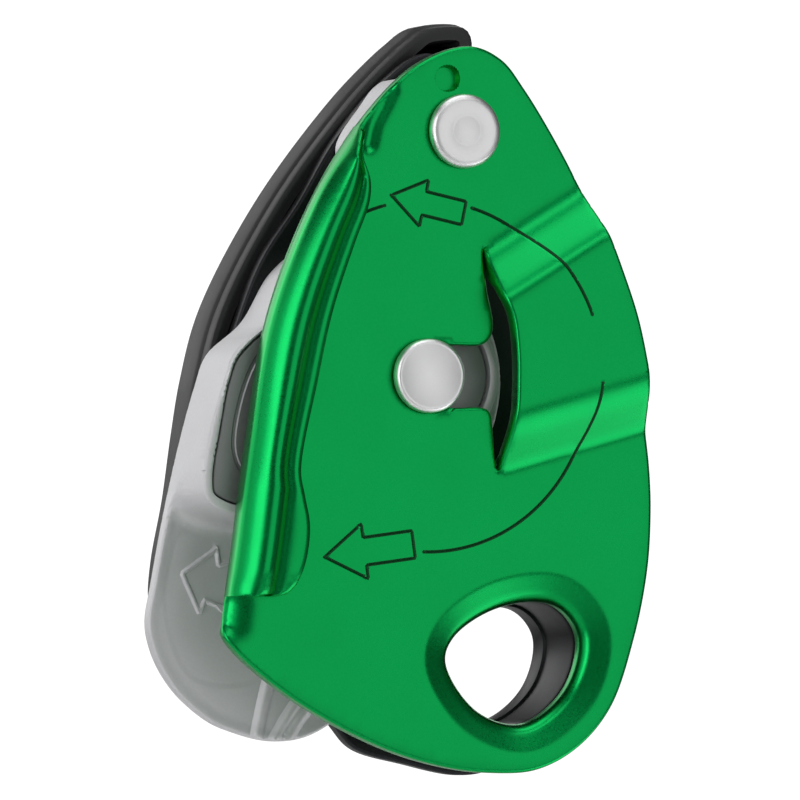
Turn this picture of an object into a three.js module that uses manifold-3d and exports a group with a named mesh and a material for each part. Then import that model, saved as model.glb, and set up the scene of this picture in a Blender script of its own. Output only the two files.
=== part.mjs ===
// Belay device with a sprung cam, a swinging side plate and a folding release handle.
// Millimetres. X is right, Y is depth (the swinging plate faces -Y), Z is up.
// The origin is the centre of the carabiner eye, half way through the two plates.

import * as THREE from 'three';
import { mergeVertices } from 'three/addons/utils/BufferGeometryUtils.js';
import Module from 'manifold-3d';

const wasm = await Module();
wasm.setup();

// ---------------------------------------------------------------- driving dimensions

const FIT = 0.3;                         // running gap between neighbouring pieces
const SHEET = 2.7;                       // thickness of both side plates
const CLEAR = 1;                         // cutting tools stand this far past a face
const BITE = 0.5;                        // added shapes sink this far into the body they join
const REACH = 60;                        // half spaces for cutting are this wide
const GAP = 13.3;                        // clear depth between the plates
const OUTER = GAP / 2 + SHEET;           // outer faces of the plate stack, front and back
const INNER = GAP / 2;                   // inner faces of the plates

const PIVOT = { x: -7.9, z: 72.4 };      // rivet that the front plate swings on
const AXLE = { x: -13.1, z: 39.0 };      // axle of the cam and of the handle lever
const TRACK = Math.hypot(PIVOT.x - AXLE.x, PIVOT.z - AXLE.z);

const HEAD_RADIUS = 5.05;                // rivet and axle heads
const HEAD_THICKNESS = 1.5;
const HEAD_ROUND = 0.7;
const RIVET_RADIUS = 3.0;
const AXLE_RADIUS = 4.2;
const AXLE_NECK_RADIUS = 3.8;
const SLOT_HALF_WIDTH = 4.2;             // slot of the front plate around the axle's neck
const SLOT_SWEEP = 0.34;                 // radians about the pivot, from the neck into the slit

const TUNNEL_RISE = 4.8;                 // raised tunnel that the axle's head slides under
const TUNNEL_INNER_FOOT = 17;            // radii about the pivot
const TUNNEL_INNER_TOP = 23.5;
const TUNNEL_OUTER_TOP = 41;
const TUNNEL_OUTER_FOOT = 48;
const SLIT = { left: -3.8, right: -2.2 };  // cut that frees the tunnel's left edge

const LIP_FLANGE_RISE = 2.6;             // hem folded over the front plate's left edge
const LIP_BEAD_RISE = 4.0;

const FLARE_DEPTH = 1.5;                 // eye rim pressed inwards
const FLARE_RADIUS = 13.2;
const FLARE_SLOPE = 3.4;                 // width of the funnel's slope
const FLARE_COLLAR = 2.2;                // width of the collar behind it
const SLEEVE_WALL = 2.4;                 // wall of the eye
const DIMPLE = { x: -10.05, z: 79.6, radius: 1.8, depth: 1.5, wall: 0.7 };
const COUNTERSINK = { width: 1.8, depth: 1.5 };  // seat of the pivot rivet's tail

const HUB_FRONT = -5.5;                  // front face of the cam's hub
const FLOOR_FRONT = 4.35;                // rope floor of the cam
const FLOOR_BACK = INNER - FIT;
const POCKET_BACK = 2.0;                 // bottom of the hub's pocket
const COVER_FRONT = -4.8;
const COVER_THICKNESS = 1.2;
const COVER_ISLAND = 0.4;                // height of the lid's raised middle
const HUB_RIM = 1.4;                     // wall left round the hub's pocket
const BOSS_FRONT = -3.2;                 // front of the bush and of its boss
const BUSH_RADIUS = 5.9;
const BOSS_RADIUS = 7.3;
const CAM_TRAVEL = 30;                   // degrees
const STOP_PIN_REACH = 17.9;             // distance of the stop pin from the axle
const STOP_PIN_RADIUS = 1.5;
const STOP_GROOVE_DEPTH = 0.5;           // how far the groove goes into the hub's base

const LEVER_FRONT = OUTER + 0.45;        // handle lever lies on the fixed plate's back
const LEVER_THICKNESS = 2.5;
const LEVER_BACK = LEVER_FRONT + LEVER_THICKNESS;
const DRUM_RADIUS = 10;
const HINGE = { x: -31.5, y: 15.5, z: -2.2 };  // fold-out pin of the handle
const HINGE_TURN = THREE.MathUtils.degToRad(20.5);  // the pin's slope in the plate's plane
const HINGE_PIN_RADIUS = 1.5;
const HINGE_PIN_HALF = 10.8;
const LEVER_INSET = 1.5;                 // the lever meets its drum this far inside its edge
const LUG_RADIUS = 2.6;
const LUG_WIDTH = 9;
const SHELL_FRONT = LEVER_FRONT;
const SHELL_BACK = 21.5;
const SHELL_WALL = 2.6;
const SHELL_ROUND = 3.2;
const SHELL_HEEL_RADIUS = 5.7;           // the heel turns past the fixed plate

const KNOB = { x: 7.0, z: 27.0, radius: 7.5 };
const KNOB_FRONT = OUTER + FIT;
const KNOB_BACK = KNOB_FRONT + 3.2;

// ---------------------------------------------------------------- materials

const finish = (color, roughness, metalness) =>
  new THREE.MeshStandardMaterial({ color, roughness, metalness });

const GREEN_ALUMINIUM = finish(0x009a45, 0.32, 0.9);
const BLACK_ALUMINIUM = finish(0x1b1c1f, 0.45, 0.7);
const BLACK_NYLON = finish(0x242528, 0.6, 0.0);
const STAINLESS = finish(0xc3c3c6, 0.35, 1.0);
const DARK_STEEL = finish(0x6f7072, 0.45, 1.0);
const BRONZE = finish(0x9a7b4f, 0.4, 1.0);
const SPRING_STEEL = finish(0x8e9094, 0.3, 1.0);
const GREY_RUBBER = finish(0x3a3b3e, 0.8, 0.0);

// ---------------------------------------------------------------- solids

// A closed geometry as a solid that can be joined and cut.
function solid(geometry) {
  const bare = geometry.clone();
  bare.deleteAttribute('normal');
  bare.deleteAttribute('uv');
  const merged = mergeVertices(bare, 1e-4);
  return new wasm.Manifold(new wasm.Mesh({
    numProp: 3,
    vertProperties: new Float32Array(merged.attributes.position.array),
    triVerts: new Uint32Array(merged.index.array),
  }));
}

// A solid back as a geometry.
function geometryOf(body) {
  const data = body.getMesh();
  const geometry = new THREE.BufferGeometry();
  geometry.setAttribute('position', new THREE.BufferAttribute(data.vertProperties, 3));
  geometry.setIndex(new THREE.BufferAttribute(data.triVerts, 1));
  geometry.computeVertexNormals();
  return geometry;
}

// A shape drawn in X and Z, thickened from the front depth to the back depth.
function slab(shape, front, back, curveSegments = 10) {
  const geometry = new THREE.ExtrudeGeometry(shape, {
    depth: back - front, bevelEnabled: false, curveSegments,
  });
  geometry.rotateX(Math.PI / 2);
  geometry.translate(0, back, 0);
  return solid(geometry);
}

// A round bar along Y.
function bar(centre, radius, front, back, segments = 28) {
  const geometry = new THREE.CylinderGeometry(radius, radius, back - front, segments);
  geometry.translate(centre.x, (front + back) / 2, centre.z);
  return solid(geometry);
}

// A turned solid about the Y axis through a centre: each pair is a radius and a depth.
function turned(centre, profile, segments = 28) {
  const closed = profile.map(([radius, depth]) => new THREE.Vector2(radius, depth));
  closed.push(closed[0].clone());
  const geometry = new THREE.LatheGeometry(closed, segments);
  geometry.translate(centre.x, 0, centre.z);
  const body = solid(geometry);
  if (body.volume() > 0) {
    return body;
  }
  const flipped = geometry.clone();
  const index = flipped.index.array;
  for (let i = 0; i < index.length; i += 3) {
    [index[i], index[i + 1]] = [index[i + 1], index[i]];
  }
  return solid(flipped);
}

// A ring along Y.
function ring(centre, innerRadius, outerRadius, front, back, segments = 28) {
  const outer = bar(centre, outerRadius, front, back, segments);
  return outer.subtract(bar(centre, innerRadius, front - 1, back + 1, segments));
}

function box(width, depth, height, centre) {
  const geometry = new THREE.BoxGeometry(width, depth, height);
  geometry.translate(centre.x, centre.y, centre.z);
  return solid(geometry);
}

// A coil of round wire about the Y axis through a centre.
function coil(centre, meanRadius, wire, turns, front, pitch) {
  const stepsPerTurn = 14;
  const points = [];
  for (let i = 0; i <= turns * stepsPerTurn; i += 1) {
    const angle = (i / stepsPerTurn) * 2 * Math.PI;
    points.push(new THREE.Vector3(
      centre.x + meanRadius * Math.cos(angle),
      front + wire / 2 + (pitch * i) / stepsPerTurn,
      centre.z + meanRadius * Math.sin(angle),
    ));
  }
  const path = new THREE.CatmullRomCurve3(points);
  const section = new THREE.Shape();
  section.absarc(0, 0, wire / 2, 0, 2 * Math.PI);
  return solid(new THREE.ExtrudeGeometry(section, {
    extrudePath: path, steps: turns * stepsPerTurn, curveSegments: 3, bevelEnabled: false,
  }));
}

const wound = (centre, { radius, wire, turns, front, pitch }) =>
  coil(centre, radius, wire, turns, front, pitch);

// ---------------------------------------------------------------- outlines

// Points of a smooth closed curve through a few given places.
function roundedLoop(places, count = 96) {
  const knots = places.map(([x, z]) => new THREE.Vector3(x, z, 0));
  const curve = new THREE.CatmullRomCurve3(knots, true, 'centripetal');
  return curve.getPoints(count).slice(0, count).map((p) => new THREE.Vector2(p.x, p.y));
}

// The same loop moved outwards by a distance (inwards when it is negative). Points that
// would fold over a tight corner, nearer to the loop than the distance, are left out.
function offsetLoop(loop, distance) {
  const turn = THREE.ShapeUtils.isClockWise(loop) ? -1 : 1;
  const moved = loop.map((point, i) => {
    const before = loop[(i + loop.length - 1) % loop.length];
    const after = loop[(i + 1) % loop.length];
    const along = after.clone().sub(before).normalize();
    return new THREE.Vector2(
      point.x + turn * along.y * distance,
      point.y - turn * along.x * distance,
    );
  });
  const nearest = 0.97 * Math.abs(distance);
  return moved.filter((point) => loop.every((other) => other.distanceTo(point) > nearest));
}

const shapeOf = (loop) => new THREE.Shape(loop);

// The right flank and the bottom, which both side plates share.
const RIGHT_FLANK = [
  [-6.7, 84.1], [-2.1, 82.4], [1.3, 78.4], [6.3, 70.7], [9.3, 65.2], [11.4, 60], [13.8, 54],
  [16.1, 47.5], [17.6, 41], [18.5, 35.5], [19.2, 31], [19.7, 26.5], [19.9, 21], [19.4, 13],
  [17.4, 3.5], [13.9, -6], [9.0, -11.5], [3.0, -14.5],
];

function frontPlateShape() {
  const shape = new THREE.Shape();
  shape.moveTo(-43.4, 4.6);
  shape.splineThru([
    [-41.4, 16], [-39.4, 29.5], [-36.2, 47], [-30.1, 62.5], [-22.9, 73.4], [-14.5, 81.6],
    ...RIGHT_FLANK,
    [-4.0, -14.9], [-12.0, -14.0], [-20.7, -11.5], [-31.8, -6.0], [-39.4, -0.6], [-43.4, 4.6],
  ].map(([x, z]) => new THREE.Vector2(x, z)));
  return shape;
}

function fixedPlateLoop() {
  const inset = RIGHT_FLANK.map(([x, z]) => [x - 0.4, z]);
  return roundedLoop([
    ...inset, [-2.0, -15.2], [-10, -13.7], [-17.5, -11.6], [-20.4, -8.6], [-26, -1], [-34, 10],
    [-38, 24], [-37.5, 37], [-34.5, 47], [-31.1, 55.2], [-25.5, 63.5], [-20.4, 71.8], [-13.5, 79.8],
  ], 72);
}

const EYE_LOOP = roundedLoop([
  [-9.5, 0.2], [-8.2, 3.6], [-1.6, 7.6], [6.3, 8.0], [9.9, 3.9], [8.2, -3.3], [1.6, -8.2],
  [-5.0, -6.4],
], 36);

const HUB_PLACES = [
  [-44.0, 25.2], [-43.6, 22.2], [-41.4, 20.6], [-37, 19.6], [-28, 20], [-18, 23], [-8, 28],
  [-2.4, 34], [-1, 40], [-3.5, 46], [-10, 50], [-18, 51.6], [-25, 53.2], [-29.4, 53.4],
  [-32.2, 51.4], [-34.2, 47.6], [-37.6, 44.8], [-40.2, 42], [-41.6, 38.4], [-43, 31.5],
];

const ISLAND_PLACES = [
  [-39.4, 29], [-37.6, 25.4], [-32, 24.4], [-25, 26], [-21, 31], [-20.8, 40], [-25, 46],
  [-32, 45], [-36.6, 40.4],
];

const FLOOR_PLACES = [
  [-41.2, 37.6], [-43.3, 30.4], [-45.6, 20.7], [-47.5, 10.9], [-48.4, 5.5], [-47.8, 2.2],
  [-46.5, -0.8], [-44.3, -3.9], [-41.7, -6.3], [-38.9, -8.2], [-35.8, -9.4], [-32, -10.4],
  [-29, -10.6], [-25, -9.8], [-20, -6.5],
  [-15.5, 2], [-9.5, 14], [-3, 23], [1.6, 31.5], [3, 40], [0.5, 48], [-6, 53.4], [-14, 56.5],
  [-24, 57.5], [-30, 53.6], [-34.5, 46.5], [-39.5, 42],
];

const HANDLE_PLACES = [
  [1.6, 85], [1.3, 87.2], [0.2, 88.4], [-4.8, 88.4], [-6.6, 87.8], [-8.6, 86.2], [-10.3, 84.8],
  [-16.8, 78.3], [-28, 63.8], [-36.3, 48.6], [-39, 39], [-40.3, 31.5], [-41.6, 22.5],
  [-43.2, 14.3], [-43.6, 8.9], [-42.7, 3.6], [-41, 0.4], [-38.8, -2.9], [-36, -5.9],
  [-31.5, -8.9], [-26.5, -10], [-22, -9], [-17.5, 0], [-17, 12], [-20, 22], [-25.5, 32],
  [-25.5, 42], [-20, 50], [-10, 63], [0, 79],
];

// ---------------------------------------------------------------- plates

// Hem folded over the left edge: a flat flange with a round bead along the very edge.
function lip() {
  const flange = new THREE.Shape();
  flange.moveTo(-42.3, 9.3);
  flange.splineThru([[-41.4, 16], [-39.4, 29.5], [-36.2, 47], [-30.1, 62.5], [-24.4, 71.6]]
    .map(([x, z]) => new THREE.Vector2(x, z)));
  flange.splineThru([[-23.8, 69.3], [-21.7, 64.4], [-25.8, 52.4], [-29.5, 38.1], [-32.0, 24.5],
    [-30.7, 20.2], [-31.4, 13.6], [-33.6, 9.4], [-36.5, 8.6]]
    .map(([x, z]) => new THREE.Vector2(x, z)));
  const bead = new THREE.Shape();
  bead.moveTo(-42.0, 9.5);
  bead.splineThru([[-41.2, 16], [-39.2, 29.5], [-36.0, 47], [-29.9, 62.5], [-26.5, 68]]
    .map(([x, z]) => new THREE.Vector2(x, z)));
  bead.splineThru([[-26.5, 60.5], [-31.5, 45], [-34.2, 29.5], [-36.6, 9.5]]
    .map(([x, z]) => new THREE.Vector2(x, z)));
  const low = slab(flange, -OUTER - LIP_FLANGE_RISE, -OUTER + BITE, 5);
  return low.add(slab(bead, -OUTER - LIP_BEAD_RISE, -OUTER + BITE, 5));
}

// Sheet pressed up into a tunnel whose walls are arcs about the pivot.
function tunnel(outline) {
  const outer = -OUTER;
  const top = -OUTER - TUNNEL_RISE;
  const bite = BITE;
  const skin = turned(PIVOT, [
    [TUNNEL_INNER_FOOT - bite, outer], [TUNNEL_INNER_TOP, top], [TUNNEL_OUTER_TOP, top],
    [TUNNEL_OUTER_FOOT + bite, outer], [TUNNEL_OUTER_FOOT + bite, outer + SHEET],
    [TUNNEL_OUTER_FOOT, outer + SHEET], [TUNNEL_OUTER_TOP - bite, top + SHEET],
    [TUNNEL_INNER_TOP + bite, top + SHEET], [TUNNEL_INNER_FOOT, outer + SHEET],
    [TUNNEL_INNER_FOOT - bite, outer + SHEET],
  ], 72);
  const half = box(REACH, REACH, 2 * REACH, { x: SLIT.right + REACH / 2, y: 0, z: AXLE.z });
  return skin.intersect(outline).intersect(half);
}

function tunnelOpening() {
  const window = turned(PIVOT, [
    [TUNNEL_INNER_FOOT, -OUTER - CLEAR], [TUNNEL_OUTER_FOOT, -OUTER - CLEAR],
    [TUNNEL_OUTER_FOOT, -INNER + CLEAR], [TUNNEL_INNER_FOOT, -INNER + CLEAR],
  ], 72);
  const half = box(REACH, REACH, 2 * REACH, { x: SLIT.left + REACH / 2, y: 0, z: AXLE.z });
  return window.intersect(half);
}

// Slot from the axle's neck to the slit, an arc about the pivot.
function neckSlot() {
  const toAxle = Math.atan2(AXLE.z - PIVOT.z, AXLE.x - PIVOT.x);
  const end = toAxle + SLOT_SWEEP;
  const shape = new THREE.Shape();
  shape.absarc(PIVOT.x, PIVOT.z, TRACK + SLOT_HALF_WIDTH, toAxle, end, false);
  shape.absarc(PIVOT.x, PIVOT.z, TRACK - SLOT_HALF_WIDTH, end, toAxle, true);
  const through = slab(shape, -OUTER - CLEAR, -INNER + CLEAR, 12);
  return through.add(bar(AXLE, SLOT_HALF_WIDTH, -OUTER - CLEAR, -INNER + CLEAR));
}

// Rim of the eye pressed inwards like a shallow funnel.
function eyeFlare() {
  const loop = offsetLoop(EYE_LOOP, FLARE_COLLAR);
  return slab(shapeOf(loop), -OUTER + FLARE_DEPTH, -INNER + FLARE_DEPTH);
}

function eyeFunnel() {
  const origin = { x: 0.2, z: 0 };
  return turned(origin, [
    [0, -OUTER - CLEAR], [FLARE_RADIUS + BITE, -OUTER - CLEAR], [FLARE_RADIUS, -OUTER],
    [FLARE_RADIUS - FLARE_SLOPE, -OUTER + FLARE_DEPTH], [0, -OUTER + FLARE_DEPTH],
  ]);
}

function movingSidePlate() {
  const tall = slab(frontPlateShape(), -OUTER - TUNNEL_RISE - CLEAR, -INNER, 2);
  let plate = slab(frontPlateShape(), -OUTER, -INNER, 2);
  plate = plate.subtract(tunnelOpening()).add(tunnel(tall)).add(lip());
  plate = plate.add(eyeFlare()).subtract(eyeFunnel());
  plate = plate.subtract(neckSlot());
  plate = plate.subtract(slab(shapeOf(EYE_LOOP), -OUTER - CLEAR, 0));
  plate = plate.subtract(bar(PIVOT, RIVET_RADIUS + FIT, -OUTER - CLEAR, 0));
  const bossBack = -INNER + DIMPLE.depth - FIT;
  const boss = bar(DIMPLE, DIMPLE.radius + DIMPLE.wall, -OUTER + FIT, bossBack, 20);
  plate = plate.add(boss);
  return plate.subtract(bar(DIMPLE, DIMPLE.radius, -OUTER - CLEAR, -OUTER + DIMPLE.depth, 20));
}

function fixedSidePlate() {
  let plate = slab(shapeOf(fixedPlateLoop()), INNER, OUTER);
  plate = plate.subtract(slab(shapeOf(offsetLoop(EYE_LOOP, SLEEVE_WALL + FIT)), 0, OUTER + CLEAR));
  plate = plate.subtract(bar(AXLE, AXLE_RADIUS + FIT, 0, OUTER + CLEAR));
  plate = plate.subtract(turned(PIVOT, [
    [0, 0], [RIVET_RADIUS + FIT, 0], [RIVET_RADIUS + FIT, OUTER - COUNTERSINK.depth],
    [RIVET_RADIUS + COUNTERSINK.width, OUTER],
    [RIVET_RADIUS + COUNTERSINK.width, OUTER + CLEAR], [0, OUTER + CLEAR],
  ]));
  for (const place of BLOCK_RIVETS) {
    plate = plate.subtract(bar(place, BLOCK_RIVET_RADIUS + FIT, 0, OUTER + CLEAR, 20));
  }
  plate = plate.subtract(bar(stopPinPlace(), STOP_PIN_RADIUS + FIT, 0, OUTER + CLEAR, 20));
  return plate.subtract(bar(KNOB, KNOB_SCREW_RADIUS + FIT, 0, OUTER + CLEAR, 20));
}

function carabinerSleeve() {
  const front = -INNER + FLARE_DEPTH + FIT;
  const outer = slab(shapeOf(offsetLoop(EYE_LOOP, SLEEVE_WALL)), front, OUTER);
  return outer.subtract(slab(shapeOf(EYE_LOOP), -OUTER, OUTER + CLEAR));
}

// ---------------------------------------------------------------- upper pivot

function pivotRivet() {
  const seat = -OUTER - FIT;
  const face = seat - HEAD_THICKNESS;
  const tail = 1.2;
  return turned(PIVOT, [
    [0, face], [HEAD_RADIUS - HEAD_ROUND, face], [HEAD_RADIUS, face + HEAD_ROUND],
    [HEAD_RADIUS, seat], [RIVET_RADIUS, seat],
    [RIVET_RADIUS, OUTER - tail], [RIVET_RADIUS + tail, OUTER], [0, OUTER],
  ]);
}

const SPACER_RADIUS = 4.6;
const WASHER_BACK = -INNER + 0.9;

const pivotWasher = () =>
  ring(PIVOT, RIVET_RADIUS + FIT, SPACER_RADIUS, -INNER + FIT, WASHER_BACK);

const pivotSpacer = () =>
  ring(PIVOT, RIVET_RADIUS + FIT, SPACER_RADIUS, WASHER_BACK + FIT, INNER - FIT);

// ---------------------------------------------------------------- friction block

const BLOCK_RIVET_RADIUS = 1.6;
const BLOCK_RIVET_FRONT = -0.7;          // the rivets end inside the block
const BLOCK_RIVETS = [{ x: -15.8, z: 74.6 }, { x: -17.2, z: 68.6 }];
const BLOCK_LOOP = roundedLoop([
  [-13.6, 80.0], [-15.4, 79.0], [-17.4, 76.4], [-20.2, 72.5], [-20.9, 70.6], [-20.4, 68.2],
  [-18.6, 66.0], [-15.6, 65.8], [-13.8, 68.2], [-13.4, 72], [-12.6, 77],
], 36);

function frictionBlock() {
  let block = slab(shapeOf(BLOCK_LOOP), -INNER + FIT, INNER - FIT);
  for (const place of BLOCK_RIVETS) {
    block = block.subtract(bar(place, BLOCK_RIVET_RADIUS + FIT, BLOCK_RIVET_FRONT - FIT, INNER, 20));
  }
  return block;
}

const blockRivet = (place) => bar(place, BLOCK_RIVET_RADIUS, BLOCK_RIVET_FRONT, OUTER, 20);

// ---------------------------------------------------------------- cam

const HUB_LOOP = roundedLoop(HUB_PLACES, 64);

function stopPinPlace() {
  return { x: AXLE.x - STOP_PIN_REACH, z: AXLE.z };
}

// Groove under the hub that the stop pin runs in as the cam turns.
function stopGroove() {
  const rest = Math.PI;
  const spare = 0.03;
  const end = rest + THREE.MathUtils.degToRad(CAM_TRAVEL) + spare;
  const half = STOP_PIN_RADIUS + FIT;
  const shape = new THREE.Shape();
  shape.absarc(AXLE.x, AXLE.z, STOP_PIN_REACH + half, rest - spare, end, false);
  shape.absarc(AXLE.x, AXLE.z, STOP_PIN_REACH - half, end, rest - spare, true);
  const front = FLOOR_FRONT - STOP_GROOVE_DEPTH;
  const farEnd = {
    x: AXLE.x + STOP_PIN_REACH * Math.cos(end), z: AXLE.z + STOP_PIN_REACH * Math.sin(end),
  };
  return slab(shape, front, FLOOR_BACK + CLEAR)
    .add(bar(stopPinPlace(), half, front, FLOOR_BACK + CLEAR, 20))
    .add(bar(farEnd, half, front, FLOOR_BACK + CLEAR, 20));
}

function cam() {
  let body = slab(shapeOf(HUB_LOOP), HUB_FRONT, FLOOR_FRONT + BITE);
  body = body.add(slab(shapeOf(roundedLoop(FLOOR_PLACES, 56)), FLOOR_FRONT, FLOOR_BACK));
  const pocket = slab(shapeOf(offsetLoop(HUB_LOOP, -HUB_RIM)), HUB_FRONT - CLEAR, POCKET_BACK);
  const boss = bar(AXLE, BOSS_RADIUS, BOSS_FRONT, POCKET_BACK + BITE);
  body = body.subtract(pocket.subtract(boss));
  body = body.subtract(bar(AXLE, BUSH_RADIUS + FIT, -OUTER, OUTER));
  return body.subtract(stopGroove());
}

function camCover() {
  const back = COVER_FRONT + COVER_THICKNESS;
  let lid = slab(shapeOf(offsetLoop(HUB_LOOP, -HUB_RIM - FIT)), COVER_FRONT, back);
  const island = slab(shapeOf(roundedLoop(ISLAND_PLACES, 48)), COVER_FRONT - COVER_ISLAND, back);
  lid = lid.add(island);
  return lid.subtract(bar(AXLE, AXLE_RADIUS + FIT, -OUTER, OUTER));
}

const camBush = () => ring(AXLE, AXLE_RADIUS + FIT, BUSH_RADIUS, BOSS_FRONT, FLOOR_BACK);

const CAM_SPRING = { radius: 8.6, wire: 1.1, turns: 3, front: -3.3, pitch: 1.3 };

const camTorsionSpring = () => wound(AXLE, CAM_SPRING);

const camStopPin = () => bar(stopPinPlace(), STOP_PIN_RADIUS, FLOOR_FRONT, OUTER, 20);

function camAxle() {
  const seat = -OUTER - FIT;
  const face = seat - HEAD_THICKNESS;
  const shoulder = HUB_FRONT - CLIP_THICKNESS / 2;
  const grooveFront = CLIP_FRONT - FIT;
  const grooveBack = CLIP_FRONT + CLIP_THICKNESS + FIT;
  const grooveRadius = AXLE_RADIUS - CLIP_BITE - FIT;
  const end = grooveBack + CLIP_THICKNESS;
  return turned(AXLE, [
    [0, face], [HEAD_RADIUS - HEAD_ROUND, face], [HEAD_RADIUS, face + HEAD_ROUND],
    [HEAD_RADIUS, seat], [AXLE_NECK_RADIUS, seat], [AXLE_NECK_RADIUS, shoulder],
    [AXLE_RADIUS, shoulder], [AXLE_RADIUS, grooveFront], [grooveRadius, grooveFront],
    [grooveRadius, grooveBack], [AXLE_RADIUS, grooveBack], [AXLE_RADIUS, end], [0, end],
  ]);
}

// ---------------------------------------------------------------- handle lever and hub

const CLIP_FRONT = LEVER_BACK + 2.4;
const CLIP_THICKNESS = 0.8;
const CLIP_BITE = 0.6;                   // the clip reaches this far into the axle
const CLIP_WIDTH = 2;                    // and this far out of it
const CAP = { radius: 9.2, wall: 1.4, roof: 1.2, chamfer: 1.0, depth: 5.7 };
const FOLD_SPRING = {
  radius: 2.3, wire: 0.7, turns: 2, front: LUG_WIDTH / 2 + FIT, pitch: 0.9,
};

function placeAtHinge(geometry) {
  geometry.rotateY(HINGE_TURN);
  geometry.translate(HINGE.x, HINGE.y, HINGE.z);
  return solid(geometry);
}

// A round bar along the hinge pin's axis.
function hingeBar(radius, from, to, segments = 24) {
  const geometry = new THREE.CylinderGeometry(radius, radius, to - from, segments);
  geometry.rotateZ(Math.PI / 2);
  geometry.translate((from + to) / 2, 0, 0);
  return placeAtHinge(geometry);
}

// A box in the hinge's own directions: along the pin, in depth, and along the handle.
function hingeBox(along, depth, length) {
  const geometry = new THREE.BoxGeometry(
    along[1] - along[0], depth[1] - depth[0], length[1] - length[0],
  );
  geometry.translate(
    (along[0] + along[1]) / 2, (depth[0] + depth[1]) / 2, (length[0] + length[1]) / 2,
  );
  return placeAtHinge(geometry);
}

function leverShape(grow) {
  const half = LUG_WIDTH / 2 + grow;
  const across = new THREE.Vector2(Math.cos(HINGE_TURN), -Math.sin(HINGE_TURN));
  const hinge = new THREE.Vector2(HINGE.x, HINGE.z);
  const axle = new THREE.Vector2(AXLE.x, AXLE.z);
  const wide = DRUM_RADIUS - LEVER_INSET + grow;
  return new THREE.Shape([
    hinge.clone().addScaledVector(across, -half), hinge.clone().addScaledVector(across, half),
    axle.clone().addScaledVector(across, wide), axle.clone().addScaledVector(across, -wide),
  ]);
}

function handleCarrier() {
  let lever = slab(leverShape(0), LEVER_FRONT, LEVER_BACK);
  lever = lever.add(bar(AXLE, DRUM_RADIUS, LEVER_FRONT, LEVER_BACK, 48));
  lever = lever.add(hingeBar(LUG_RADIUS, -LUG_WIDTH / 2, LUG_WIDTH / 2));
  const foot = [LEVER_FRONT - HINGE.y, 0];
  lever = lever.add(hingeBox([-LUG_WIDTH / 2, LUG_WIDTH / 2], foot, [-LUG_RADIUS, LUG_RADIUS]));
  lever = lever.subtract(hingeBar(HINGE_PIN_RADIUS + FIT, -LUG_WIDTH, LUG_WIDTH));
  return lever.subtract(bar(AXLE, AXLE_RADIUS + FIT, 0, SHELL_BACK));
}

const RETURN_SPRING = { radius: 6.2, wire: 0.9, turns: 1, front: LEVER_BACK + FIT, pitch: 1.1 };

const handleReturnSpring = () => wound(AXLE, RETURN_SPRING);

function axleCirclip() {
  const back = CLIP_FRONT + CLIP_THICKNESS;
  const clip = ring(AXLE, AXLE_RADIUS - CLIP_BITE, AXLE_RADIUS + CLIP_WIDTH, CLIP_FRONT, back);
  const mouth = { x: AXLE.x, y: CLIP_FRONT, z: AXLE.z + AXLE_RADIUS };
  return clip.subtract(box(3, 4, 2 * AXLE_RADIUS, mouth));
}

function hubCap() {
  const front = LEVER_BACK + FIT;
  const back = front + CAP.depth;
  const bore = CAP.radius - CAP.wall;
  return turned(AXLE, [
    [bore, front], [CAP.radius, front], [CAP.radius, back - CAP.chamfer],
    [CAP.radius - CAP.chamfer, back], [0, back], [0, back - CAP.roof], [bore, back - CAP.roof],
  ]);
}

const handleHingePin = () => hingeBar(HINGE_PIN_RADIUS, -HINGE_PIN_HALF, HINGE_PIN_HALF);

function handleFoldSpring() {
  const geometry = geometryOf(wound({ x: 0, z: 0 }, FOLD_SPRING));
  geometry.rotateZ(-Math.PI / 2);
  return placeAtHinge(geometry);
}

// ---------------------------------------------------------------- handle

const HANDLE_LOOP = roundedLoop(HANDLE_PLACES, 80);

function roundBacked(loop, back, round) {
  const steps = 2;
  let body = slab(shapeOf(loop), SHELL_FRONT, back - round);
  for (let i = 1; i <= steps; i += 1) {
    const angle = (i / steps) * (Math.PI / 2);
    const before = ((i - 1) / steps) * (Math.PI / 2);
    const inset = round * (1 - Math.cos(angle * 0.85));
    const from = back - round + round * Math.sin(before) - 0.05;
    body = body.add(slab(shapeOf(offsetLoop(loop, -inset)), from, back - round + round * Math.sin(angle)));
  }
  return body;
}

const CHEEK = { from: 7.7, to: 10.8, reach: 3 };  // walls that carry the pin, either side
const FORK_SPARE = 1.2;                  // room beside the lug and the lever
const FORK = { front: -8, back: 9, below: -9, above: 3.6 };  // about the pin

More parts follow.
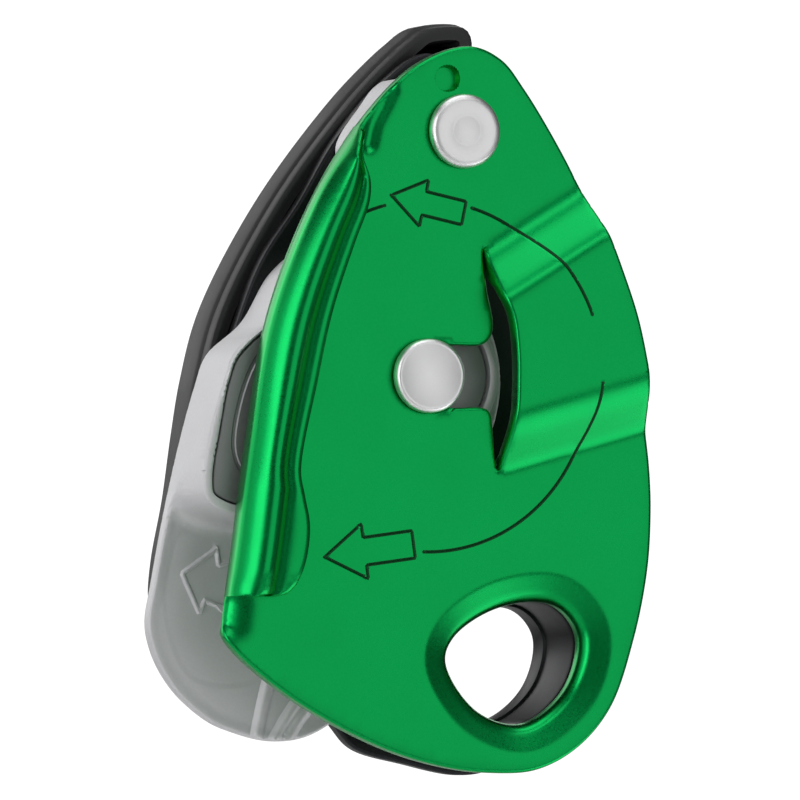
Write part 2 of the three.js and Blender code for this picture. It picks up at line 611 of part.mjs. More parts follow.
function handleShell() {
  let shell = roundBacked(HANDLE_LOOP, SHELL_BACK, SHELL_ROUND);
  const hollow = slab(
    shapeOf(offsetLoop(HANDLE_LOOP, -SHELL_WALL)), SHELL_FRONT - CLEAR, SHELL_BACK - SHELL_WALL,
  );
  shell = shell.subtract(hollow);
  // heel: nothing beyond the pin reaches further than the heel's radius
  const below = hingeBox([-REACH, REACH], [-REACH, REACH], [-REACH, 0]);
  shell = shell.subtract(below.subtract(hingeBar(SHELL_HEEL_RADIUS, -REACH, REACH, 40)));
  // cheeks that carry the pin
  const cheekDepth = [-CHEEK.reach, SHELL_BACK - SHELL_WALL - HINGE.y + BITE];
  for (const along of [[CHEEK.from, CHEEK.to], [-CHEEK.to, -CHEEK.from]]) {
    shell = shell.add(hingeBox(along, cheekDepth, [-CHEEK.reach, CHEEK.reach]));
  }
  shell = shell.subtract(hingeBar(HINGE_PIN_RADIUS + FIT, -HINGE_PIN_HALF - FIT, HINGE_PIN_HALF + FIT));
  // an open fork for the lug, and room for the lever and the hub
  const room = LUG_WIDTH / 2 + FORK_SPARE;
  const fork = hingeBox([-room, room], [FORK.front, FORK.back], [FORK.below, FORK.above]);
  const leverRoom = slab(leverShape(FORK_SPARE), SHELL_FRONT - CLEAR, LEVER_BACK + BITE);
  const hubRoom = bar(AXLE, DRUM_RADIUS + 0.8, SHELL_FRONT - CLEAR, SHELL_BACK + CLEAR, 48);
  return shell.subtract(fork).subtract(leverRoom).subtract(hubRoom);
}

const GRIP_THICKNESS = 1.6;

// Soft pad on the back of the handle's upper half.
function handleGripPad() {
  const loop = roundedLoop([
    [-2.5, 84], [-8, 80.5], [-18, 70], [-27, 57], [-31.5, 46], [-28.5, 43.5], [-22, 52],
    [-12, 65], [-3, 77],
  ], 60);
  return slab(shapeOf(loop), SHELL_BACK + FIT, SHELL_BACK + GRIP_THICKNESS);
}

// ---------------------------------------------------------------- mode selector

const KNOB_SCREW_RADIUS = 1.8;
const KNOB_WELL = { radius: 3.4, depth: 1.4 };   // sunk seat of the screw's head
const KNOB_RIB = { width: 3.4, rise: 2.9, inset: 0.6 };
const SCREW_HEAD = { radius: 3.0, front: KNOB_BACK - 0.5, back: KNOB_BACK + 1.2 };
const SCREW_SLOT = { width: 0.9, depth: 0.8 };

function modeKnob() {
  const rib = box(KNOB_RIB.width, 2 * KNOB_RIB.rise, 2 * (KNOB.radius - KNOB_RIB.inset), {
    x: KNOB.x, y: KNOB_BACK, z: KNOB.z,
  });
  const front = bar(KNOB, KNOB.radius, -OUTER, KNOB_FRONT, 48);
  const knob = bar(KNOB, KNOB.radius, KNOB_FRONT, KNOB_BACK, 48).add(rib).subtract(front);
  const seat = KNOB_BACK - KNOB_WELL.depth;
  const past = KNOB_BACK + KNOB_RIB.rise + CLEAR;
  return knob.subtract(turned(KNOB, [
    [0, 0], [KNOB_SCREW_RADIUS + FIT, 0], [KNOB_SCREW_RADIUS + FIT, seat],
    [KNOB_WELL.radius, seat], [KNOB_WELL.radius, past], [0, past],
  ]));
}

function modeKnobScrew() {
  const screw = turned(KNOB, [
    [0, INNER], [KNOB_SCREW_RADIUS, INNER], [KNOB_SCREW_RADIUS, SCREW_HEAD.front],
    [SCREW_HEAD.radius, SCREW_HEAD.front], [SCREW_HEAD.radius, SCREW_HEAD.back],
    [0, SCREW_HEAD.back],
  ]);
  const slot = box(SCREW_SLOT.width, 2 * SCREW_SLOT.depth, 3 * SCREW_HEAD.radius, {
    x: KNOB.x, y: SCREW_HEAD.back, z: KNOB.z,
  });
  return screw.subtract(slot);
}

const knobWaveWasher = () =>
  ring(KNOB, KNOB_SCREW_RADIUS + FIT, SCREW_HEAD.radius, SCREW_HEAD.front - 0.6, SCREW_HEAD.front - FIT);

// ---------------------------------------------------------------- assembly

const device = new THREE.Group();

function piece(name, body, material) {
  const mesh = new THREE.Mesh(geometryOf(body), material);
  mesh.name = name;
  device.add(mesh);
}

piece('moving_side_plate', movingSidePlate(), GREEN_ALUMINIUM);
piece('fixed_side_plate', fixedSidePlate(), BLACK_ALUMINIUM);
piece('carabiner_sleeve', carabinerSleeve(), BLACK_ALUMINIUM);
piece('pivot_rivet', pivotRivet(), STAINLESS);
piece('pivot_washer', pivotWasher(), BLACK_NYLON);
piece('pivot_spacer', pivotSpacer(), STAINLESS);
piece('friction_block', frictionBlock(), STAINLESS);
piece('friction_block_rivet_upper', blockRivet(BLOCK_RIVETS[0]), STAINLESS);
piece('friction_block_rivet_lower', blockRivet(BLOCK_RIVETS[1]), STAINLESS);
piece('cam', cam(), STAINLESS);
piece('cam_cover', camCover(), DARK_STEEL);
piece('cam_bush', camBush(), BRONZE);
piece('cam_torsion_spring', camTorsionSpring(), SPRING_STEEL);
piece('cam_stop_pin', camStopPin(), STAINLESS);
piece('cam_axle', camAxle(), STAINLESS);
piece('handle_carrier', handleCarrier(), BLACK_ALUMINIUM);
piece('handle_return_spring', handleReturnSpring(), SPRING_STEEL);
piece('axle_circlip', axleCirclip(), SPRING_STEEL);
piece('hub_cap', hubCap(), BLACK_NYLON);
piece('handle_shell', handleShell(), BLACK_NYLON);
piece('handle_hinge_pin', handleHingePin(), STAINLESS);
piece('handle_fold_spring', handleFoldSpring(), SPRING_STEEL);
piece('handle_grip_pad', handleGripPad(), GREY_RUBBER);
piece('mode_knob', modeKnob(), BLACK_NYLON);
piece('mode_knob_screw', modeKnobScrew(), STAINLESS);
piece('knob_wave_washer', knobWaveWasher(), SPRING_STEEL);

export default device;
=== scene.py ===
"""Belay device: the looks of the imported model, in its own frame.

Every class builds one sub-assembly around the frame's nodes. Sizes are in millimetres
and turn into metres once, when a mesh is made. X is right, Y is depth, Z is up.
"""

import logging
import math
from dataclasses import dataclass, field
from enum import Enum
from typing import Callable, Sequence

import bmesh
import bpy
import numpy as np
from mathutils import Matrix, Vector
from mathutils.geometry import delaunay_2d_cdt


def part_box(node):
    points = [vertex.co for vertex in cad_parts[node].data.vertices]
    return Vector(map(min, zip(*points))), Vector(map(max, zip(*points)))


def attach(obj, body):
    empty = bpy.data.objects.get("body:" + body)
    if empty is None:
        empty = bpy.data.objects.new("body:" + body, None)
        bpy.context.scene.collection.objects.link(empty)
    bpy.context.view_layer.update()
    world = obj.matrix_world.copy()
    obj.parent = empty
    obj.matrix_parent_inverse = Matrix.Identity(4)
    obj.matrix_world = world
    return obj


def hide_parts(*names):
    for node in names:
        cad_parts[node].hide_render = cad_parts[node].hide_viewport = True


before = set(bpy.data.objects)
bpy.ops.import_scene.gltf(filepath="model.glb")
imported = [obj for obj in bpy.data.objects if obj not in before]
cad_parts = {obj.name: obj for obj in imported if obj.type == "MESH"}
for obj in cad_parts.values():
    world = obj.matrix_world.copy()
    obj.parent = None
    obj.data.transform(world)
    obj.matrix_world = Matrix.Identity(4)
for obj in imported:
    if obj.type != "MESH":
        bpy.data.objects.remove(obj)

LOG = logging.getLogger("belay_device")
MM = 0.001
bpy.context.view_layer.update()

Loop = np.ndarray
Pair = tuple[float, float]


class Body(Enum):
    """The rigid bodies that a piece can ride on."""

    FRAME = "frame"
    FRONT_PLATE = "front_plate"
    CAM = "cam"
    LEVER = "lever"
    HANDLE = "handle"
    KNOB = "knob"


# ------------------------------------------------------------------ measured from the frame


def middle(node: str) -> np.ndarray:
    """Centre of a node's box at rest.

    Args:
        node: name of a CAD node.

    Returns:
        The centre in millimetres.
    """
    low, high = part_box(node)
    return (np.array(low) + np.array(high)) / 2 / MM


def reach(node: str, axis: int) -> Pair:
    """Lowest and highest place of a node along one axis, in millimetres.

    Args:
        node: name of a CAD node.
        axis: 0, 1 or 2 for X, Y or Z.

    Returns:
        The two places.
    """
    low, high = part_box(node)
    return low[axis] / MM, high[axis] / MM


AXLE = middle("cam_bush")[[0, 2]]
PIVOT = middle("pivot_spacer")[[0, 2]]
KNOB_AXIS = middle("knob_wave_washer")[[0, 2]]
HINGE = middle("handle_hinge_pin")
FIXED_FRONT, FIXED_BACK = reach("fixed_side_plate", 1)
PLATE_FRONT, PLATE_BACK = -FIXED_BACK, -FIXED_FRONT


# ------------------------------------------------------------------ curves in the X-Z plane


def spline(points: Sequence[Pair], spacing: float, closed: bool) -> Loop:
    """Smooth curve through a few places, with evenly spaced points.

    Args:
        points: places the curve runs through.
        spacing: distance between the points returned.
        closed: True for a loop.

    Returns:
        Points of the curve, one row each.
    """
    knots = np.array(points, float)
    count = len(knots)
    spans = count if closed else count - 1
    fine = []
    for i in range(spans):
        if closed:
            a, b, c, d = (knots[(i + k) % count] for k in (-1, 0, 1, 2))
        else:
            b, c = knots[i], knots[i + 1]
            a = knots[i - 1] if i else 2 * b - c
            d = knots[i + 2] if i + 2 < count else 2 * c - b
        t0 = 0.0
        t1 = t0 + math.sqrt(np.linalg.norm(b - a))
        t2 = t1 + math.sqrt(np.linalg.norm(c - b))
        t3 = t2 + math.sqrt(np.linalg.norm(d - c))
        for t in np.linspace(t1, t2, 24, endpoint=False):
            ab = (t1 - t) / (t1 - t0) * a + (t - t0) / (t1 - t0) * b
            bc = (t2 - t) / (t2 - t1) * b + (t - t1) / (t2 - t1) * c
            cd = (t3 - t) / (t3 - t2) * c + (t - t2) / (t3 - t2) * d
            abc = (t2 - t) / (t2 - t0) * ab + (t - t0) / (t2 - t0) * bc
            bcd = (t3 - t) / (t3 - t1) * bc + (t - t1) / (t3 - t1) * cd
            fine.append((t2 - t) / (t2 - t1) * abc + (t - t1) / (t2 - t1) * bcd)
    if not closed:
        fine.append(knots[-1])
    return even(np.array(fine), spacing, closed)


def even(path: Loop, spacing: float, closed: bool) -> Loop:
    """The same path with evenly spaced points.

    Args:
        path: points of the path.
        spacing: wanted distance between points.
        closed: True for a loop.

    Returns:
        The new points.
    """
    ring = np.vstack([path, path[:1]]) if closed else path
    steps = np.linalg.norm(np.diff(ring, axis=0), axis=1)
    along = np.concatenate([[0], np.cumsum(steps)])
    count = max(3, round(along[-1] / spacing))
    places = np.linspace(0, along[-1], count + 1)
    if closed:
        places = places[:-1]
    return np.stack([np.interp(places, along, ring[:, k]) for k in (0, 1)], axis=1)


def around(centre: Sequence[float], radius: float, angle: np.ndarray) -> Loop:
    """Places round a centre, one for each angle in radians."""
    return np.stack([centre[0] + radius * np.cos(angle), centre[1] + radius * np.sin(angle)], axis=1)


def circle(centre: Sequence[float], radius: float, spacing: float) -> Loop:
    """A full circle of evenly spaced points.

    Args:
        centre: its place in X and Z.
        radius: its radius.
        spacing: wanted distance between points.

    Returns:
        Points round the circle, anticlockwise.
    """
    count = max(12, round(2 * math.pi * radius / spacing))
    angle = np.linspace(0, 2 * math.pi, count, endpoint=False)
    return around(centre, radius, angle)


def arc(centre: Sequence[float], radius: float, start: float, stop: float, spacing: float) -> Loop:
    """Part of a circle between two angles in degrees.

    Args:
        centre: the place in X and Z that it turns about.
        radius: its radius.
        start: angle of its first point.
        stop: angle of its last point.
        spacing: wanted distance between points.

    Returns:
        Points along the arc.
    """
    length = abs(math.radians(stop - start)) * radius
    angle = np.radians(np.linspace(start, stop, max(4, round(length / spacing))))
    return around(centre, radius, angle)


def area(loop: Loop) -> float:
    """Signed area of a loop, positive when it runs anticlockwise."""
    nxt = np.roll(loop, -1, axis=0)
    return 0.5 * float(np.sum(loop[:, 0] * nxt[:, 1] - nxt[:, 0] * loop[:, 1]))


def grown(loop: Loop, distance: float, tidy: bool = True) -> Loop:
    """A loop moved outwards by a distance, or inwards when it is negative.

    Args:
        loop: points of the loop.
        distance: how far every point moves.
        tidy: leave out the points that fold over a tight corner.

    Returns:
        The moved points.
    """
    turn = 1.0 if area(loop) > 0 else -1.0
    along = np.roll(loop, -1, axis=0) - np.roll(loop, 1, axis=0)
    along /= np.linalg.norm(along, axis=1)[:, None]
    moved = loop + turn * distance * np.stack([along[:, 1], -along[:, 0]], axis=1)
    if not tidy:
        return moved
    gap = np.linalg.norm(moved[:, None] - loop[None], axis=2).min(axis=1)
    return moved[gap > 0.93 * abs(distance)]


def away(points: Loop, path: Loop, closed: bool) -> np.ndarray:
    """Distance from every point to a path.

    Args:
        points: places to measure from.
        path: points of the path.
        closed: True when the path is a loop.

    Returns:
        One distance for each point.
    """
    start = path if closed else path[:-1]
    stop = np.roll(path, -1, axis=0) if closed else path[1:]
    best = np.full(len(points), 1e9)
    for a, b in zip(start, stop):
        ab = b - a
        share = np.clip(((points - a) @ ab) / max(ab @ ab, 1e-12), 0, 1)
        best = np.minimum(best, np.linalg.norm(points - a - share[:, None] * ab, axis=1))
    return best


def inside(points: Loop, loop: Loop) -> np.ndarray:
    """True for every point that lies inside a loop.

    Args:
        points: places to test.
        loop: points of the loop.

    Returns:
        One truth value for each point.
    """
    x, z = points[:, 0], points[:, 1]
    hit = np.zeros(len(points), bool)
    nxt = np.roll(loop, -1, axis=0)
    for (ax, az), (bx, bz) in zip(loop, nxt):
        if az == bz:
            continue
        crosses = (az > z) != (bz > z)
        hit ^= crosses & (x < (bx - ax) * (z - az) / (bz - az) + ax)
    return hit


def rounded_ramp(share: np.ndarray, foot: float = 0.2, head: float = 0.2) -> np.ndarray:
    """A ramp from 0 to 1 whose two bends are rounded.

    Args:
        share: place along the ramp, 0 at its foot and 1 at its head.
        foot: half the length of the rounding at the foot, as a share of the ramp.
        head: half the length of the rounding at the head.

    Returns:
        The height at each place.
    """

    def bend(x: np.ndarray, soft: float) -> np.ndarray:
        """Zero, then a parabola, then a straight rise."""
        middle_part = (x + soft) ** 2 / (4 * soft)
        return np.where(x < -soft, 0, np.where(x > soft, x, middle_part))

    return bend(share, foot) - bend(share - 1, head)


def outside_by(points: Loop, loop: Loop) -> np.ndarray:
    """Distance of every point outside a loop, negative inside it."""
    gap = away(points, loop, True)
    return np.where(inside(points, loop), -gap, gap)


def beside(path: Loop, distances: Sequence[float]) -> list[Loop]:
    """Copies of an open path, each moved sideways by one of the distances.

    Args:
        path: points of the path.
        distances: how far each copy moves, positive to the left.

    Returns:
        One path for each distance.
    """
    along = np.gradient(path, axis=0)
    along /= np.maximum(np.linalg.norm(along, axis=1)[:, None], 1e-9)
    across = np.stack([-along[:, 1], along[:, 0]], axis=1)
    return [path + across * distance for distance in distances]


def nearest(points: Loop, placed: Loop) -> np.ndarray:
    """Distance from every point to the nearest placed one, worked out in slices.

    Args:
        points: places to measure from.
        placed: places to measure to.

    Returns:
        One distance for each point.
    """
    slices = [points[start:start + 400] for start in range(0, len(points), 400)]
    return np.concatenate(
        [np.linalg.norm(part[:, None] - placed[None], axis=2).min(axis=1) for part in slices]
    )


def side_of(points: Loop, a: Pair, b: Pair) -> np.ndarray:
    """Signed distance from the line through a and b, positive on its left.

    Args:
        points: places to measure from.
        a: a place on the line.
        b: a later place on it.

    Returns:
        One distance for each point.
    """
    along = np.array(b) - np.array(a)
    along /= np.linalg.norm(along)
    rel = points - np.array(a)
    return along[0] * rel[:, 1] - along[1] * rel[:, 0]


# ------------------------------------------------------------------ modelling steps


def start_fresh() -> None:
    """Leaves edit mode and deselects everything."""
    if bpy.context.object and bpy.context.object.mode != "OBJECT":
        bpy.ops.object.mode_set(mode="OBJECT")
    bpy.ops.object.select_all(action="DESELECT")


def select_only(piece: bpy.types.Object) -> None:
    """Makes one object the only selected and the active one.

    Args:
        piece: the mesh object.
    """
    start_fresh()
    piece.select_set(True)
    bpy.context.view_layer.objects.active = piece


def settle(piece: bpy.types.Object, angle: float = 35.0, double: float = 0.002) -> None:
    """Merges doubles, turns the faces outwards and shades the piece smooth.

    Args:
        piece: the mesh object.
        angle: edges sharper than this many degrees stay sharp.
        double: vertices nearer than this, in millimetres, are merged.
    """
    select_only(piece)
    bpy.ops.object.mode_set(mode="EDIT")
    bpy.ops.mesh.select_all(action="SELECT")
    bpy.ops.mesh.remove_doubles(threshold=double * MM)
    bpy.ops.mesh.normals_make_consistent(inside=False)
    bpy.ops.object.mode_set(mode="OBJECT")
    bpy.ops.object.transform_apply(location=True, rotation=True, scale=True)
    bpy.ops.object.shade_smooth_by_angle(angle=math.radians(angle))


def apply_modifier(piece: bpy.types.Object, kind: str, **settings: object) -> None:
    """Adds a modifier with its settings and applies it.

    Args:
        piece: the mesh object.
        kind: the modifier's type name.
        settings: its properties.
    """
    select_only(piece)
    modifier = piece.modifiers.new(kind.lower(), kind)
    for key, value in settings.items():
        setattr(modifier, key, value)
    bpy.ops.object.modifier_apply(modifier=modifier.name)


def soften(piece: bpy.types.Object, width: float, segments: int = 3, angle: float = 30.0) -> None:
    """Rounds the sharp edges of a piece by a width in millimetres.

    Args:
        piece: the mesh object.
        width: width of the rounding.
        segments: number of faces across it.
        angle: edges sharper than this many degrees are rounded.
    """
    apply_modifier(
        piece, "BEVEL", width=width * MM, segments=segments, limit_method="ANGLE",
        angle_limit=math.radians(angle), harden_normals=False,
    )


def combine(piece: bpy.types.Object, tool: bpy.types.Object, how: str) -> None:
    """Joins or cuts a piece with a tool, which is used up.

    Args:
        piece: the object that stays.
        tool: the object that is used up.
        how: DIFFERENCE, UNION or INTERSECT.
    """
    apply_modifier(piece, "BOOLEAN", object=tool, operation=how, solver="EXACT")
    bpy.data.objects.remove(tool, do_unlink=True)


def move_ring(ring: Sequence[bmesh.types.BMVert], places: np.ndarray) -> None:
    """Puts a ring of vertices at places given in millimetres."""
    for vertex, place in zip(ring, places):
        vertex.co = Vector(place * MM)


def open_ring(name: str, count: int) -> tuple[bpy.types.Object, bmesh.types.BMesh]:
    """Starts a piece from one ring of vertices and leaves it in edit mode.

    Args:
        name: name of the new object.
        count: number of vertices.

    Returns:
        The new object and its mesh, ready for its vertices to be placed.
    """
    start_fresh()
    bpy.ops.mesh.primitive_circle_add(vertices=count, radius=1)
    piece = bpy.context.object
    piece.name = name
    bpy.ops.object.mode_set(mode="EDIT")
    mesh = bmesh.from_edit_mesh(piece.data)
    mesh.verts.ensure_lookup_table()
    return piece, mesh


def loft(
    name: str, rings: Sequence[np.ndarray], capped: bool = True, hoop: bool = False,
) -> bpy.types.Object:
    """A skin over rings of points: a circle is placed, then extruded from ring to ring.

    Args:
        name: name of the new object.
        rings: arrays of the same number of points, in millimetres.
        capped: True to fill the first and the last ring.
        hoop: True to bridge the last ring to the first.

    Returns:
        The new object.
    """
    piece, mesh = open_ring(name, len(rings[0]))
    move_ring(mesh.verts, rings[0])
    count = len(rings[0])
    for places in rings[1:]:
        bmesh.update_edit_mesh(piece.data)
        bpy.ops.mesh.extrude_region()
        mesh = bmesh.from_edit_mesh(piece.data)
        mesh.verts.ensure_lookup_table()
        total = len(mesh.verts)
        fresh = [mesh.verts[i] for i in range(total - count, total)]
        before = [mesh.verts[i] for i in range(total - 2 * count, total - count)]
        partner = {}
        for vertex in fresh:
            for edge in vertex.link_edges:
                other = edge.other_vert(vertex)
                if not other.select:
                    partner[other.index] = vertex
        ring = [partner[vertex.index] for vertex in before]
        move_ring(ring, places)
        reorder_tail(mesh, ring, total - count)
    bmesh.update_edit_mesh(piece.data)
    if hoop:
        bridge_ends(piece, count)
    elif capped:
        fill_ends(piece, count)
    bpy.ops.object.mode_set(mode="OBJECT")
    settle(piece)
    return piece


def reorder_tail(
    mesh: bmesh.types.BMesh, order: Sequence[bmesh.types.BMVert], first_index: int,
) -> None:
    """Numbers the newest ring's vertices in their order round the ring.

    Args:
        mesh: the mesh in edit mode.
        order: vertices of the ring, in order.
        first_index: number of the first one.
    """
    for offset, vertex in enumerate(order):
        vertex.index = first_index + offset
    mesh.verts.sort()


def unselected(piece: bpy.types.Object) -> bmesh.types.BMesh:
    """Deselects everything in edit mode and gives the mesh, ready for picking.

    Args:
        piece: the mesh object.

    Returns:
        The mesh, with an up-to-date list of vertices.
    """
    bpy.ops.mesh.select_all(action="DESELECT")
    mesh = bmesh.from_edit_mesh(piece.data)
    mesh.verts.ensure_lookup_table()
    return mesh


def fill_ends(piece: bpy.types.Object, count: int) -> None:
    """Fills the open rings at both ends of a loft.

    Args:
        piece: the loft, in edit mode.
        count: number of vertices in a ring.
    """
    for take_last in (False, True):
        mesh = unselected(piece)
        total = len(mesh.verts)
        span = range(total - count, total) if take_last else range(count)
        for i in span:
            mesh.verts[i].select = True
        mesh.select_flush(True)
        bmesh.update_edit_mesh(piece.data)
        bpy.ops.mesh.edge_face_add()


def bridge_ends(piece: bpy.types.Object, count: int) -> None:
    """Bridges the last ring of a loft to its first.

    Args:
        piece: the loft, in edit mode.
        count: number of vertices in a ring.
    """
    mesh = unselected(piece)
    total = len(mesh.verts)
    chosen = set(range(count)) | set(range(total - count, total))
    for edge in mesh.edges:
        ends = {edge.verts[0].index, edge.verts[1].index}
        if ends <= chosen and len(edge.link_faces) == 1:
            edge.select = True
    mesh.select_flush(True)
    bmesh.update_edit_mesh(piece.data)
    bpy.ops.mesh.bridge_edge_loops()


def lifted(loop: Loop, depth: float) -> np.ndarray:
    """A loop of the X-Z plane at one depth."""
    return np.stack([loop[:, 0], np.full(len(loop), depth), loop[:, 1]], axis=1)


def level(depth: float) -> Callable[[Loop], np.ndarray]:
    """A flat face: the same depth at every place."""
    return lambda places: np.full(len(places), depth)


def spun(
    name: str, centre: Sequence[float], profile: Sequence[Pair], steps: int = 64,
) -> bpy.types.Object:
    """A turned piece: a closed profile of radius and depth, spun round an axis along Y.

    Args:
        name: name of the new object.
        centre: the axis' place in X and Z.
        profile: pairs of radius and depth, in order round the section.
        steps: number of steps of the spin.

    Returns:
        The new object.
    """
    piece, mesh = open_ring(name, len(profile))
    for vertex, (radius, depth) in zip(mesh.verts, profile):
        vertex.co = Vector(((centre[0] + radius) * MM, depth * MM, centre[1] * MM))
    bmesh.update_edit_mesh(piece.data)
    bpy.ops.mesh.select_all(action="SELECT")
    bpy.ops.mesh.spin(
        steps=steps, angle=2 * math.pi, center=(centre[0] * MM, 0, centre[1] * MM), axis=(0, 1, 0),
    )
    bpy.ops.object.mode_set(mode="OBJECT")
    settle(piece)
    return piece


def rounded_profile(profile: Sequence[Pair], radius: float, steps: int = 3) -> list[Pair]:
    """A section with every corner off the axis rounded.

    Args:
        profile: pairs of radius and depth.
        radius: radius of the rounding.
        steps: points that replace each corner.

    Returns:
        The rounded section.
    """
    points = [np.array(p, float) for p in profile]
    result = []
    for i, corner in enumerate(points):
        before, after = points[i - 1], points[(i + 1) % len(points)]
        to_before, to_after = before - corner, after - corner
        near = min(radius, 0.45 * np.linalg.norm(to_before), 0.45 * np.linalg.norm(to_after))
        if corner[0] < 1e-6 or near < 0.02:
            result.append((float(corner[0]), float(corner[1])))
            continue
        a = corner + to_before / np.linalg.norm(to_before) * near
        b = corner + to_after / np.linalg.norm(to_after) * near
        for t in np.linspace(0, 1, steps + 1):
            place = (1 - t) ** 2 * a + 2 * t * (1 - t) * corner + t ** 2 * b
            result.append((float(place[0]), float(place[1])))
    return result


def block(name: str, low: Sequence[float], high: Sequence[float]) -> bpy.types.Object:
    """A box between two corners, in millimetres, as a start or as a cutting tool.

    Args:
        name: name of the new object.
        low: its lowest corner.
        high: its highest corner.

    Returns:
        The new object.
    """
    start_fresh()
    bpy.ops.mesh.primitive_cube_add(size=1)
    piece = bpy.context.object
    piece.name = name
    low, high = np.array(low, float), np.array(high, float)
    for vertex in piece.data.vertices:
        share = np.array(vertex.co) + 0.5
        vertex.co = Vector((low + share * (high - low)) * MM)
    return piece


def rod(name: str, centre: Sequence[float], radius: float, front: float, back: float) -> bpy.types.Object:
    """A plain round bar along Y, as a cutting tool.

    Args:
        name: name of the new object.
        centre: the axis' place in X and Z.
        radius: its radius.
        front: depth of its front end.
        back: depth of its back end.

    Returns:
        The new object.
    """
    start_fresh()
    bpy.ops.mesh.primitive_cylinder_add(vertices=72, radius=radius * MM, depth=(back - front) * MM)
    piece = bpy.context.object
    piece.name = name
    place = Vector((centre[0] * MM, (front + back) / 2 * MM, centre[1] * MM))
    for vertex in piece.data.vertices:
        x, y, z = vertex.co
        vertex.co = Vector((x, -z, y)) + place
    return piece


def hinge_frame(piece: bpy.types.Object) -> None:
    """Moves a piece made round the origin to the handle's hinge, along its slanted pin.

    Args:
        piece: the mesh object.
    """
    turn = HandleUnit.pin_slope
    cosine, sine = math.cos(turn), math.sin(turn)
    for vertex in piece.data.vertices:
        x, y, z = vertex.co
        turned = Vector((x * cosine + z * sine, y, -x * sine + z * cosine))
        vertex.co = turned + Vector(HINGE * MM)


def hinge_rod(name: str, radius: float, start: float, stop: float, sides: int = 64) -> bpy.types.Object:
    """A round bar along the handle's hinge pin.

    Args:
        name: name of the new object.
        radius: its radius.
        start: place of its first end along the pin.
        stop: place of its last end.
        sides: number of faces round it.

    Returns:
        The new object.
    """
    start_fresh()
    bpy.ops.mesh.primitive_cylinder_add(vertices=sides, radius=radius * MM, depth=(stop - start) * MM)
    piece = bpy.context.object
    piece.name = name
    for vertex in piece.data.vertices:
        x, y, z = vertex.co
        vertex.co = Vector((z + (start + stop) / 2 * MM, x, y))
    hinge_frame(piece)
    settle(piece)
    return piece


def hinge_block(name: str, low: Sequence[float], high: Sequence[float]) -> bpy.types.Object:
    """A box in the hinge's directions: along the pin, in depth, and along the handle.

    Args:
        name: name of the new object.
        low: its lowest corner.
        high: its highest corner.

    Returns:
        The new object.
    """
    piece = block(name, low, high)
    hinge_frame(piece)
    return piece


# ------------------------------------------------------------------ pressed sheets


